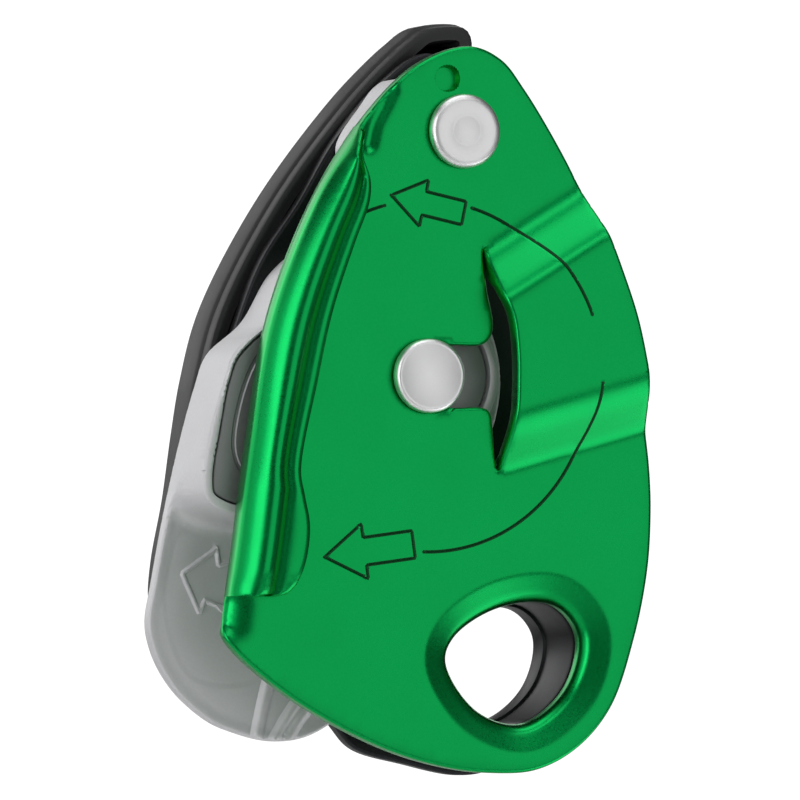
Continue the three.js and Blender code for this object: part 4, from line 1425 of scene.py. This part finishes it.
@dataclass
class FixedSide:
    """The black plate behind, the wall of the eye and what is riveted between the plates."""

    edge: tuple[Pair, ...] = (
        (-7.1, 84.1), (-2.5, 82.4), (0.9, 78.4), (5.9, 70.7), (8.9, 65.2), (11.0, 60),
        (13.4, 54), (15.7, 47.5), (17.2, 41), (18.1, 35.5), (18.8, 31), (19.3, 26.5),
        (19.5, 21), (19.0, 13), (17.0, 3.5), (13.5, -6), (8.6, -11.5), (2.6, -14.5), (-2.0, -15.2),
        (-10, -13.7), (-17.5, -11.6), (-20.4, -8.6), (-26, -1), (-34, 10), (-38, 24),
        (-37.5, 37), (-34.5, 47), (-31.1, 55.2), (-25.5, 63.5), (-20.4, 71.8), (-13.5, 79.8),
    )
    sleeve_wall: float = 2.4
    friction_round: Pair = (2.4, 4.2)
    head_radius: float = 5.05
    head_height: float = 1.5
    friction_edge: tuple[Pair, ...] = (
        (-13.6, 80.0), (-15.4, 79.0), (-17.4, 76.4), (-20.2, 72.5), (-20.9, 70.6),
        (-20.4, 68.2), (-18.6, 66.0), (-15.6, 65.8), (-13.8, 68.2), (-13.4, 72), (-12.6, 77),
    )

    def plate(self, shop: Workshop) -> None:
        """The fixed plate with its rounded edges and bores.

        Args:
            shop: the workshop that takes the pieces.
        """
        eye = spline(SwingPlate.eye, 0.6, True)
        rivets = [middle("friction_block_rivet_upper"), middle("friction_block_rivet_lower")]
        holes = [
            grown(eye, self.sleeve_wall + 0.3), circle(AXLE, 4.5, 0.5), circle(PIVOT, 4.6, 0.5),
            circle(KNOB_AXIS, 2.1, 0.5), circle(middle("cam_stop_pin")[[0, 2]], 1.8, 0.5),
            *[circle(r[[0, 2]], 1.9, 0.5) for r in rivets],
        ]
        sheet = PressedSheet(spline(self.edge, 0.6, True), holes, 0.5, 2.6)
        piece = sheet.build(
            "fixed_plate", level(FIXED_FRONT), level(FIXED_BACK),
        )
        shop.fit(piece, BLACK_ANODISED, Body.FRAME, ["fixed_side_plate"])

    def sleeve(self, shop: Workshop) -> None:
        """The wall of the eye, with a shallow step near its back end.

        Args:
            shop: the workshop that takes the pieces.
        """
        front, back = reach("carabiner_sleeve", 1)
        eye = spline(SwingPlate.eye, 0.6, True)
        wall = self.sleeve_wall
        section = [
            (wall - 0.5, front), (0.5, front), (0.12, front + 0.15), (0.0, front + 0.6),
            (0.0, back - 4.4), (-0.35, back - 4.1), (-0.45, back - 3.6), (-0.45, back - 0.8),
            (-0.3, back - 0.25), (0.2, back), (wall - 0.5, back), (wall - 0.1, back - 0.15),
            (wall, back - 0.6), (wall, front + 0.5), (wall - 0.15, front + 0.12),
        ]
        rings = [lifted(grown(eye, distance, tidy=False), depth) for distance, depth in section]
        piece = loft("eye_sleeve", rings, capped=False, hoop=True)
        shop.fit(piece, BLACK_ANODISED, Body.FRAME, ["carabiner_sleeve"])

    def friction(self, shop: Workshop) -> None:
        """The friction block, a solid with well-rounded edges.

        Args:
            shop: the workshop that takes the pieces.
        """
        front, back = reach("friction_block", 1)
        edge = spline(self.friction_edge, 0.5, True)
        across, along = self.friction_round
        quarter = np.radians(np.arange(0, 91, 15))
        section = [
            (-across * (1 - math.sin(turn)), front + along * (1 - math.cos(turn))) for turn in quarter
        ]
        section += [
            (0.0, back - 1.6), (-0.05, back - 0.9), (-0.3, back - 0.35), (-0.8, back - 0.08),
            (-1.6, back),
        ]
        rings = [lifted(grown(edge, distance, tidy=False), depth) for distance, depth in section]
        piece = loft("friction_block_body", rings)
        shop.fit(piece, CAST_STEEL, Body.FRAME, ["friction_block"])

    def heads(self, shop: Workshop) -> None:
        """The pivot rivet and the cam's axle with their turned heads.

        Args:
            shop: the workshop that takes the pieces.
        """
        front, back = reach("pivot_rivet", 1)
        radius = self.head_radius
        seat = front + self.head_height
        pivot = [
            (0, front), (0.3, front + 0.02), (1.9, front + 0.02), (2.0, front + 0.05),
            (2.1, front + 0.02), (4.0, front + 0.04), (4.5, front + 0.12), (4.85, front + 0.35),
            (radius, front + 0.75), (radius, seat - 0.1), (radius - 0.15, seat),
            (3.0, seat), (3.0, back - 1.2), (4.2, back), (0, back),
        ]
        shop.fit(spun("pivot_rivet_turned", PIVOT, pivot, 96), TUMBLED_STEEL, Body.FRAME,
                 ["pivot_rivet"])
        front, back = reach("cam_axle", 1)
        seat = front + self.head_height
        groove = reach("axle_circlip", 1)
        axle = [
            (0, front + 0.35), (0.3, front + 0.33), (4.2, front + 0.06), (4.35, front),
            (4.6, front + 0.02), (4.9, front + 0.25), (radius, front + 0.6), (radius, seat - 0.1),
            (radius - 0.15, seat), (3.8, seat), (3.8, -5.9), (4.2, -5.6),
            (4.2, groove[0] - 0.3), (3.3, groove[0] - 0.3), (3.3, groove[1] + 0.3),
            (4.2, groove[1] + 0.3), (4.2, back - 0.4), (3.8, back), (0, back),
        ]
        shop.fit(spun("cam_axle_turned", AXLE, axle, 96), TUMBLED_STEEL, Body.FRAME,
                 ["cam_axle"])

    def build(self, shop: Workshop) -> None:
        """Builds everything that is fixed to the back plate.

        Args:
            shop: the workshop that takes the pieces.
        """
        self.plate(shop)
        self.sleeve(shop)
        self.friction(shop)
        self.heads(shop)
        for node in ("friction_block_rivet_upper", "friction_block_rivet_lower", "cam_stop_pin"):
            shop.dress_node(node, TUMBLED_STEEL)
        shop.dress_node("pivot_spacer", TUMBLED_STEEL)
        shop.dress_node("pivot_washer", BLACK_NYLON)
        shop.dress_node("axle_circlip", SPRING_STEEL)
        shop.dress_node("knob_wave_washer", SPRING_STEEL)


# ------------------------------------------------------------------ cam


@dataclass
class CamUnit:
    """The cast cam, its lid, its bush and its spring."""

    hub: tuple[Pair, ...] = (
        (-44.0, 25.2), (-43.6, 22.2), (-41.4, 20.6), (-37, 19.6), (-28, 20), (-18, 23),
        (-8, 28), (-2.4, 34), (-1, 40), (-3.5, 46), (-10, 50), (-18, 51.6), (-25, 53.2),
        (-29.4, 53.4), (-32.2, 51.4), (-34.2, 47.6), (-37.6, 44.8), (-40.2, 42),
        (-41.6, 38.4), (-43, 31.5),
    )
    floor: tuple[Pair, ...] = (
        (-41.2, 37.6), (-43.3, 30.4), (-45.6, 20.7), (-47.5, 10.9), (-48.4, 5.5), (-47.8, 2.2),
        (-46.5, -0.8), (-44.3, -3.9), (-41.7, -6.3), (-38.9, -8.2), (-35.8, -9.4), (-32, -10.4),
        (-29, -10.6), (-25, -9.8), (-20, -6.5),
        (-15.5, 2), (-9.5, 14), (-3, 23), (1.6, 31.5), (3, 40), (0.5, 48), (-6, 53.4),
        (-14, 56.5), (-24, 57.5), (-30, 53.6), (-34.5, 46.5), (-39.5, 42),
    )
    island: tuple[Pair, ...] = (
        (-39.4, 29), (-37.6, 25.4), (-32, 24.4), (-25, 26), (-21, 31), (-20.8, 40), (-25, 46),
        (-32, 45), (-36.6, 40.4),
    )
    rim_width: float = 1.4
    floor_thickness: float = 2.0
    bush_hole: float = 6.2
    axle_hole: float = 4.5
    arrow_line: tuple[Pair, ...] = (
        (-37.4, 13.6), (-38.2, 13.3), (-38.5, 15.6), (-43.5, 12.2), (-41.0, 6.8), (-40.2, 8.6),
        (-38.6, 8.0),
    )
    arrow_rise: float = 0.38
    rib_rise: float = 0.7
    panel: tuple[Pair, ...] = (
        (-46.0, 7), (-45.2, 14), (-43.6, 18), (-38, 18.4), (-30, 17), (-26, 8), (-32, -2),
        (-42, -2),
    )
    panel_recess: float = 0.06
    ribs: tuple[tuple[Pair, ...], ...] = (
        ((-29.6, 2.5), (-31.2, -3.1), (-32.8, -10.0)),
        ((-24.0, -2.0), (-27.2, -5.8), (-30.2, -10.4)),
        ((-22.4, -3.0), (-25.8, -6.6), (-28.6, -10.4)),
    )

    def casting(self, shop: Workshop) -> None:
        """Hub and rope floor in one piece, with a filleted wall between them.

        Args:
            shop: the workshop that takes the pieces.
        """
        front, back = reach("cam", 1)
        floor_front = back - self.floor_thickness
        hub = spline(self.hub, 0.45, True)
        floor = spline(self.floor, 0.8, True)
        wall = [
            (-2.2, front + 3.0), (-1.62, front + 3.0), (-1.42, front + 0.8), (-1.3, front + 0.15),
            (-1.05, front), (-0.5, front), (-0.25, front + 0.07), (-0.07, front + 0.25),
            (0.0, front + 0.5), (0.15, front + 3.0), (0.35, front + 6.0), (0.55, front + 7.6),
            (0.85, front + 8.5), (1.3, front + 9.15), (1.9, front + 9.6), (2.7, floor_front),
        ]
        distances, depths = np.array(wall).T
        arrow = np.array(self.arrow_line)
        ribs = [spline(line, 0.5, False) for line in self.ribs]
        panel = spline(self.panel, 0.6, True)

        def front_face(places: Loop) -> np.ndarray:
            """Floor, wall and rim of the hub, and what stands out of the floor.

            Args:
                places: places of the X-Z plane, one row each.

            Returns:
                One depth for each place.
            """
            gap = outside_by(places, hub)
            depth = np.interp(gap, distances, depths)
            lip = 0.25 * np.clip(1 - away(places, floor, True) / 1.6, 0, 1)
            recess = self.panel_recess * np.clip(0.5 - outside_by(places, panel) / 0.4, 0, 1)
            line = np.clip(1.4 - away(places, arrow, False) / 0.28, 0, 1)
            rib_gap = np.min([away(places, path, False) for path in ribs], axis=0)
            rib = np.clip(1.3 - rib_gap / 0.75, 0, 1) ** 0.7
            on_floor = gap > 0.6
            return depth + on_floor * (recess - lip - self.arrow_rise * line - self.rib_rise * rib)

        details = [grown(hub, distance) for distance in distances]
        details += beside(even(arrow, 0.35, False), (0.0, 0.12, -0.12, 0.4, -0.4, 0.8, -0.8))
        for path in ribs:
            details += beside(path, (0.0, 0.25, -0.25, 0.6, -0.6, 1.0, -1.0))
        details += [grown(panel, distance) for distance in (-0.5, -0.2, 0.2, 0.5)]
        details += [grown(hub, distance) for distance in (3.1, 3.6, 4.4)]
        details += [grown(floor, distance) for distance in (-0.8, -1.2, -1.6, -2.1)]
        sheet = PressedSheet(floor, [circle(AXLE, self.bush_hole, 0.6)], 0.4, 1.5, details)
        piece = sheet.build("cam_casting", front_face, level(back))
        shop.fit(piece, CAST_STEEL, Body.CAM, ["cam"])

    def lid(self, shop: Workshop) -> None:
        """The dark lid let into the hub, with a raised island.

        Args:
            shop: the workshop that takes the pieces.
        """
        front, back = reach("cam_cover", 1)
        edge = grown(spline(self.hub, 0.7, True), -self.rim_width - 0.25)
        island = spline(self.island, 0.5, True)

        def front_face(places: Loop) -> np.ndarray:
            """Flat lid with a groove round its island."""
            gap = away(places, island, True)
            return np.full(len(places), front + 0.35) + 0.3 * np.clip(1 - gap / 0.35, 0, 1)

        details = [grown(island, d) for d in (0.0, 0.18, -0.18, 0.36, -0.36)]
        sheet = PressedSheet(edge, [circle(AXLE, self.axle_hole, 0.5)], 0.25, 2.0, details)
        piece = sheet.build("cam_lid", front_face, level(back))
        shop.fit(piece, DARK_STEEL, Body.CAM, ["cam_cover"])

    def build(self, shop: Workshop) -> None:
        """Builds the cam and what turns with it.

        Args:
            shop: the workshop that takes the pieces.
        """
        self.casting(shop)
        self.lid(shop)
        shop.dress_node("cam_bush", SINTERED_BRONZE)
        shop.dress_node("cam_torsion_spring", SPRING_STEEL)


# ------------------------------------------------------------------ handle


@dataclass
class HandleUnit:
    """The folding handle, its lever, the hub's cap and the hinge."""

    pin_slope: float = math.radians(20.5)
    edge: tuple[Pair, ...] = (
        (1.6, 85), (1.3, 87.2), (0.2, 88.4), (-4.8, 88.4), (-6.6, 87.8), (-8.6, 86.2),
        (-10.3, 84.8), (-16.8, 78.3), (-28, 63.8), (-36.3, 48.6), (-39, 39), (-40.3, 31.5),
        (-41.6, 22.5), (-43.2, 14.3), (-43.6, 8.9), (-42.7, 3.6), (-41, 0.4), (-38.8, -2.9),
        (-36, -5.9), (-31.5, -8.9), (-26.5, -10), (-22, -9), (-17.5, 0), (-17, 12), (-20, 22),
        (-25.5, 32), (-25.5, 42), (-20, 50), (-10, 63), (0, 79),
    )
    pad_edge: tuple[Pair, ...] = (
        (-2.5, 84), (-8, 80.5), (-18, 70), (-27, 57), (-31.5, 46), (-28.5, 43.5), (-22, 52),
        (-12, 65), (-3, 77),
    )
    wall: float = 2.6
    heel: float = 5.7
    lug_width: float = 9.0
    lug_radius: float = 2.6
    lever_half: float = 8.5
    lever_thickness: float = 2.5
    drum: float = 10.0
    pin_radius: float = 1.5
    pin_half: float = 10.8
    pin_bore: float = 1.8
    cheek_start: float = 7.7
    cheek_half: float = 3.0
    spare: float = 1.2
    axle_bore: float = 4.5
    cap_radius: float = 9.2
    cap_wall: float = 1.4

    def shell(self, shop: Workshop) -> None:
        """The hollow handle, open towards the plates.

        Args:
            shop: the workshop that takes the pieces.
        """
        front, back = reach("handle_shell", 1)
        edge = spline(self.edge, 0.9, True)
        outside = [
            (-1.9, front + 0.15), (-1.4, front), (-1.0, front), (-0.6, front + 0.15),
            (-0.45, front + 0.5), (-0.42, front + 2.2), (-0.2, front + 2.5), (0.0, front + 2.9),
            (0.0, back - 4.4), (-0.15, back - 3.1), (-0.6, back - 1.9), (-1.3, back - 1.0),
            (-2.2, back - 0.4), (-3.3, back - 0.1), (-4.6, back),
        ]
        body = loft("handle_outer", [lifted(self.inset(edge, -d), y) for d, y in outside])
        hollow_rings = [
            (-self.wall + 0.2, front - 1), (-self.wall + 0.2, front + 0.3),
            (-self.wall, front + 0.8), (-self.wall - 0.3, back - 5.2), (-self.wall - 0.8, back - 3.9),
            (-self.wall - 1.8, back - 3.0), (-self.wall - 3.0, back - self.wall),
        ]
        hollow = loft("handle_hollow", [lifted(self.inset(edge, -d), y) for d, y in hollow_rings])
        combine(body, hollow, "DIFFERENCE")
        self.heel_cuts(body, front, back)
        settle(body, 38.0)
        body.name = "handle_moulding"
        shop.fit(body, BLACK_NYLON, Body.HANDLE, ["handle_shell"])

    def inset(self, edge: Loop, distance: float) -> Loop:
        """The edge moved inwards, with the same number of points and no folds.

        Args:
            edge: the handle's outline.
            distance: how far inwards.

        Returns:
            One point for each point of the edge.
        """
        if distance < 0.05:
            return edge
        clean = grown(edge, -distance)
        gaps = np.linalg.norm(edge[:, None] - clean[None], axis=2)
        start = int(gaps[0].argmin())
        clean = np.roll(clean, -start, axis=0)
        ring = np.vstack([clean, clean[:1]])
        steps = np.linalg.norm(np.diff(ring, axis=0), axis=1)
        along = np.concatenate([[0], np.cumsum(steps)]) / steps.sum()
        edge_ring = np.vstack([edge, edge[:1]])
        edge_steps = np.linalg.norm(np.diff(edge_ring, axis=0), axis=1)
        places = np.concatenate([[0], np.cumsum(edge_steps)])[:-1] / edge_steps.sum()
        return np.stack([np.interp(places, along, ring[:, k]) for k in (0, 1)], axis=1)

    def heel_cuts(self, body: bpy.types.Object, front: float, back: float) -> None:
        """Rounds the heel about the pin and clears the lever, the lug and the hub.

        Args:
            body: the handle, already hollow.
            front: depth of its front face.
            back: depth of its back face.
        """
        below = hinge_block("below", (-30, -30, -30), (30, 30, 0))
        combine(below, hinge_rod("heel", self.heel, -31, 31, 96), "DIFFERENCE")
        combine(body, below, "DIFFERENCE")
        half = self.cheek_half
        inner_back = back - self.wall - HINGE[1] + 0.5
        for low, high in ((-self.pin_half, -self.cheek_start), (self.cheek_start, self.pin_half)):
            cheek = hinge_block("cheek", (low, -half, -half), (high, inner_back, half))
            combine(body, cheek, "UNION")
        shallow = np.array([(-60, 10), (-44.5, 10), (-39.5, -7), (-60, -12)], float)
        deep = np.array([(-60, 14), (-43.6, 14), (-34.2, -6), (-60, -12)], float)
        chamfer = loft("chamfer", [lifted(shallow, front + 4.5), lifted(deep, back + 1)])
        combine(body, chamfer, "DIFFERENCE")
        bore_half = self.pin_half + 0.3
        combine(body, hinge_rod("pin_bore", self.pin_bore, -bore_half, bore_half), "DIFFERENCE")
        room = self.lug_width / 2 + self.spare
        combine(body, hinge_block("lug_room", (-room, -8, -9), (room, 9, 3.6)), "DIFFERENCE")
        lever_room = self.lever_block("lever_room", self.spare, front - 1, front + 3.0)
        combine(body, lever_room, "DIFFERENCE")
        combine(body, rod("hub_room", AXLE, self.drum + 0.8, front - 1, back + 1), "DIFFERENCE")

    def lever_block(self, name: str, grow: float, front: float, back: float) -> bpy.types.Object:
        """The tapered bar of the lever between two depths, grown sideways by a distance.

        Args:
            name: name of the new object.
            grow: how much wider than the bar, on each side.
            front: depth of its front face.
            back: depth of its back face.

        Returns:
            The new object.
        """
        across = np.array([math.cos(self.pin_slope), -math.sin(self.pin_slope)])
        hinge = HINGE[[0, 2]]
        half, wide = self.lug_width / 2 + grow, self.lever_half + grow
        loop = np.array([
            hinge - across * half, hinge + across * half, AXLE + across * wide, AXLE - across * wide,
        ])
        return loft(name, [lifted(loop, front), lifted(loop, back)])

    def pad(self, shop: Workshop) -> None:
        """The soft pad on the handle's back, with moulded cross ribs.

        Args:
            shop: the workshop that takes the pieces.
        """
        front, back = reach("handle_grip_pad", 1)
        edge = spline(self.pad_edge, 0.5, True)
        middle_line = spline([(-3.5, 82), (-12, 71), (-22, 57.5), (-29.5, 46)], 0.3, False)

        def back_face(places: Loop) -> np.ndarray:
            """Ribs across the pad, lower at its edges.

            Args:
                places: places of the X-Z plane, one row each.

            Returns:
                One depth for each place.
            """
            gaps = np.linalg.norm(places[:, None] - middle_line[None], axis=2).argmin(axis=1)
            wave = 0.5 + 0.5 * np.cos(gaps * 0.3 / 2.4 * 2 * math.pi)
            edge_gap = np.clip(away(places, edge, True) / 1.2 - 0.5, 0, 1)
            return back - 0.45 * (1 - wave * edge_gap)

        sheet = PressedSheet(edge, [], 0.4, 0.55)
        piece = sheet.build("handle_pad", level(front), back_face)
        shop.fit(piece, GRIP_RUBBER, Body.HANDLE, ["handle_grip_pad"])

    def lever(self, shop: Workshop) -> None:
        """The lever between the axle and the hinge pin.

        Args:
            shop: the workshop that takes the pieces.
        """
        front = reach("handle_carrier", 1)[0]
        back = front + self.lever_thickness
        half, radius = self.lug_width / 2, self.lug_radius
        body = self.lever_block("handle_lever", 0.0, front, back)
        combine(body, rod("drum", AXLE, self.drum, front, back), "UNION")
        combine(body, hinge_rod("lug", radius, -half, half, 48), "UNION")
        foot = hinge_block("foot", (-half, front - HINGE[1], -radius), (half, 0, radius))
        combine(body, foot, "UNION")
        combine(body, hinge_rod("pin_hole", self.pin_bore, -20, 20), "DIFFERENCE")
        combine(body, rod("axle_hole", AXLE, self.axle_bore, 0, 30), "DIFFERENCE")
        soften(body, 0.3, 2, 40)
        settle(body)
        shop.fit(body, BLACK_ANODISED, Body.LEVER, ["handle_carrier"])

    def cap(self, shop: Workshop) -> None:
        """The cap over the hub, hollow, with a shallow ring in its face.

        Args:
            shop: the workshop that takes the pieces.
        """
        front, back = reach("hub_cap", 1)
        outer, bore, roof = self.cap_radius, self.cap_radius - self.cap_wall, back - 1.2
        profile = rounded_profile([
            (bore, front), (outer, front), (outer, back - 1.3), (outer - 0.9, back - 0.1),
            (6.2, back), (6.0, back - 0.35), (5.2, back - 0.35), (5.0, back), (0, back), (0, roof),
            (bore, roof),
        ], 0.3)
        piece = spun("hub_cap_turned", AXLE, profile, 96)
        shop.fit(piece, BLACK_NYLON, Body.LEVER, ["hub_cap"])

    def pin(self, shop: Workshop) -> None:
        """The hinge pin with rounded ends.

        Args:
            shop: the workshop that takes the pieces.
        """
        piece = hinge_rod("hinge_pin", self.pin_radius, -self.pin_half, self.pin_half, 48)
        soften(piece, 0.25, 3, 40)
        settle(piece)
        shop.fit(piece, TUMBLED_STEEL, Body.LEVER, ["handle_hinge_pin"])

    def build(self, shop: Workshop) -> None:
        """Builds the handle and the lever that it folds on.

        Args:
            shop: the workshop that takes the pieces.
        """
        self.shell(shop)
        self.pad(shop)
        self.lever(shop)
        self.cap(shop)
        self.pin(shop)
        shop.dress_node("handle_return_spring", SPRING_STEEL)
        shop.dress_node("handle_fold_spring", SPRING_STEEL)


# ------------------------------------------------------------------ mode selector


@dataclass
class Selector:
    """The two-position knob on the back and its screw."""

    flutes: int = 18
    flute_depth: float = 0.35
    disc_height: float = 3.2
    bar_half: float = 1.7
    bar_inset: float = 0.6
    well_radius: float = 3.4
    well_depth: float = 1.4
    bore_radius: float = 2.1
    screw_radius: float = 1.8
    head_radius: float = 3.0
    head_height: float = 1.7
    slot_half: float = 0.45
    slot_depth: float = 0.8

    def knob(self, shop: Workshop) -> None:
        """A fluted knob with a finger bar across it.

        Args:
            shop: the workshop that takes the pieces.
        """
        front, back = reach("mode_knob", 1)
        disc_back = front + self.disc_height
        low, high = reach("mode_knob", 0)
        radius = (high - low) / 2
        angle = np.linspace(0, 2 * math.pi, 144, endpoint=False)
        outwards = np.stack([np.cos(angle), np.sin(angle)], axis=1)
        wave = 0.5 + 0.5 * np.cos(angle * self.flutes)
        rings = []
        for shrink, depth, flute in (
            (0.5, front, 0.0), (0.1, front + 0.3, 0.2), (0.0, front + 0.7, 1.0),
            (0.0, disc_back - 0.7, 1.0), (0.15, disc_back - 0.3, 0.7), (0.6, disc_back, 0.2),
        ):
            size = radius - shrink - self.flute_depth * flute * (1 - wave)
            rings.append(lifted(KNOB_AXIS + size[:, None] * outwards, depth))
        body = loft("selector_knob", rings)
        x, z = KNOB_AXIS
        half, length = self.bar_half, radius - self.bar_inset
        bar = block("bar", (x - half, disc_back - 0.5, z - length), (x + half, back, z + length))
        soften(bar, 0.6, 4)
        combine(body, bar, "UNION")
        well_floor = disc_back - self.well_depth
        combine(body, rod("well", KNOB_AXIS, self.well_radius, well_floor, back + 3), "DIFFERENCE")
        combine(body, rod("bore", KNOB_AXIS, self.bore_radius, front - 3, back + 3), "DIFFERENCE")
        settle(body, 40)
        shop.fit(body, BLACK_NYLON, Body.KNOB, ["mode_knob"])

    def screw(self, shop: Workshop) -> None:
        """The slotted screw that the knob turns on.

        Args:
            shop: the workshop that takes the pieces.
        """
        front, back = reach("mode_knob_screw", 1)
        seat, shank, head = back - self.head_height, self.screw_radius, self.head_radius
        profile = rounded_profile([
            (0, front), (shank, front), (shank, seat), (head, seat), (head, back - 0.3),
            (head - 0.8, back), (0, back),
        ], 0.15)
        piece = spun("selector_screw", KNOB_AXIS, profile, 64)
        x, z = KNOB_AXIS
        half, floor = self.slot_half, back - self.slot_depth
        slot = block("slot", (x - half, floor, z - 4), (x + half, back + 1, z + 4))
        combine(piece, slot, "DIFFERENCE")
        settle(piece)
        shop.fit(piece, TUMBLED_STEEL, Body.FRAME, ["mode_knob_screw"])

    def build(self, shop: Workshop) -> None:
        """Builds the selector."""
        self.knob(shop)
        self.screw(shop)


# ------------------------------------------------------------------ studio


@dataclass(frozen=True)
class Lamp:
    """A soft rectangular light that looks at the object's middle.

    The two angles are in degrees, round the object and up from its middle. The distance and
    the width and height are in metres, and the power is in watts.
    """

    name: str
    azimuth: float
    elevation: float
    distance: float
    size: Pair
    power: float


LAMPS = (
    Lamp("key", 22, 4, 0.7, (0.56, 0.5), 0.72),
    Lamp("left_box", -50, 8, 0.65, (0.24, 0.6), 1.25),
    Lamp("left_fill", -125, 10, 0.7, (0.6, 0.6), 1.2),
    Lamp("left_gap", -80, 10, 0.7, (0.4, 0.6), 0.5),
    Lamp("brow", 5, 43, 0.6, (0.5, 0.12), 0.4),
    Lamp("top", 10, 72, 0.6, (0.4, 0.3), 0.35),
    Lamp("back_right", 140, 25, 0.8, (0.6, 0.6), 1.3),
    Lamp("back_left", 205, 25, 0.8, (0.6, 0.6), 1.3),
    Lamp("overhead", 0, 88, 2.0, (2.0, 2.0), 11),
    Lamp("table", 62, -48, 0.5, (0.45, 0.4), 0.7),
)


@dataclass
class Studio:
    """A pale floor, a bright screen behind the object, soft lights and the camera."""

    azimuth: float = -21.0
    elevation: float = -2.0
    lens: float = 500.0
    field_mm: float = 109.6
    aim: tuple[float, float, float] = (-12.17, 3.32, 36.17)
    floor_height: float = -350.0
    screen_distance: float = 1.6
    screen_size: float = 0.6
    screen_glow: float = 1.1
    floor_size: float = 8.0
    surround: float = 0.1

    def back_vector(self, azimuth: float, elevation: float) -> Vector:
        """Direction from the object towards a place round it."""
        a, e = math.radians(azimuth), math.radians(elevation)
        return Vector((math.sin(a) * math.cos(e), -math.cos(a) * math.cos(e), math.sin(e)))

    def camera(self) -> None:
        """Places the camera."""
        data = bpy.data.cameras.new("camera")
        data.lens = self.lens
        data.sensor_width = 36.0
        data.clip_end = 50.0
        distance = self.field_mm * MM * self.lens / data.sensor_width
        camera = bpy.data.objects.new("camera", data)
        back = self.back_vector(self.azimuth, self.elevation)
        camera.location = Vector(self.aim) * MM + back * distance
        camera.rotation_euler = back.to_track_quat("Z", "Y").to_euler()
        bpy.context.scene.collection.objects.link(camera)
        bpy.context.scene.camera = camera

    def light(self, lamp: Lamp) -> None:
        """Places one soft light.

        Args:
            lamp: the light to place.
        """
        data = bpy.data.lights.new(lamp.name, "AREA")
        data.shape = "RECTANGLE"
        data.size, data.size_y = lamp.size
        data.energy = lamp.power
        light = bpy.data.objects.new(lamp.name, data)
        back = self.back_vector(lamp.azimuth, lamp.elevation)
        light.location = Vector(self.aim) * MM + back * lamp.distance
        light.rotation_euler = back.to_track_quat("Z", "Y").to_euler()
        bpy.context.scene.collection.objects.link(light)

    def cover(self, piece: bpy.types.Object, name: str, settings: dict[str, object]) -> None:
        """Gives a piece of the studio a plain material.

        Args:
            piece: the floor or the screen.
            name: name of the new material.
            settings: values of its shader's inputs, by name.
        """
        surface = bpy.data.materials.new(name)
        surface.use_nodes = True
        shader = surface.node_tree.nodes["Principled BSDF"]
        for key, value in settings.items():
            shader.inputs[key].default_value = value
        piece.data.materials.append(surface)

    def floor(self) -> None:
        """A pale floor under the object and a bright screen behind it."""
        start_fresh()
        bpy.ops.mesh.primitive_plane_add(
            size=self.floor_size, location=(0, 0, self.floor_height * MM),
        )
        floor = bpy.context.object
        floor.name = "floor"
        self.cover(floor, "pale_floor", {"Base Color": linear("#F4F4F4"), "Roughness": 0.9})
        bpy.ops.mesh.primitive_plane_add(size=self.screen_size)
        screen = bpy.context.object
        screen.name = "screen"
        ahead = -self.back_vector(self.azimuth, self.elevation)
        turn = ahead.to_track_quat("Z", "Y")
        for vertex in screen.data.vertices:
            vertex.co = turn @ vertex.co + ahead * self.screen_distance
        self.cover(screen, "bright_screen", {
            "Base Color": (0, 0, 0, 1), "Emission Color": (1, 1, 1, 1),
            "Emission Strength": self.screen_glow,
        })

    def sky(self) -> None:
        """An even white surround."""
        world = bpy.data.worlds.new("surround")
        world.use_nodes = True
        ground = world.node_tree.nodes["Background"]
        ground.inputs["Color"].default_value = (1, 1, 1, 1)
        ground.inputs["Strength"].default_value = self.surround
        bpy.context.scene.world = world
        bpy.context.scene.view_settings.view_transform = "Standard"

    def build(self) -> None:
        """Builds the studio."""
        self.camera()
        self.floor()
        self.sky()
        for lamp in LAMPS:
            self.light(lamp)


def main() -> None:
    """Builds the device and its studio, piece by piece."""
    logging.basicConfig(level=logging.INFO, format="%(name)s: %(message)s")
    shop = Workshop()
    Studio().build()
    SwingPlate().build(shop)
    FixedSide().build(shop)
    CamUnit().build(shop)
    HandleUnit().build(shop)
    Selector().build(shop)


if __name__ == "__main__":
    main()
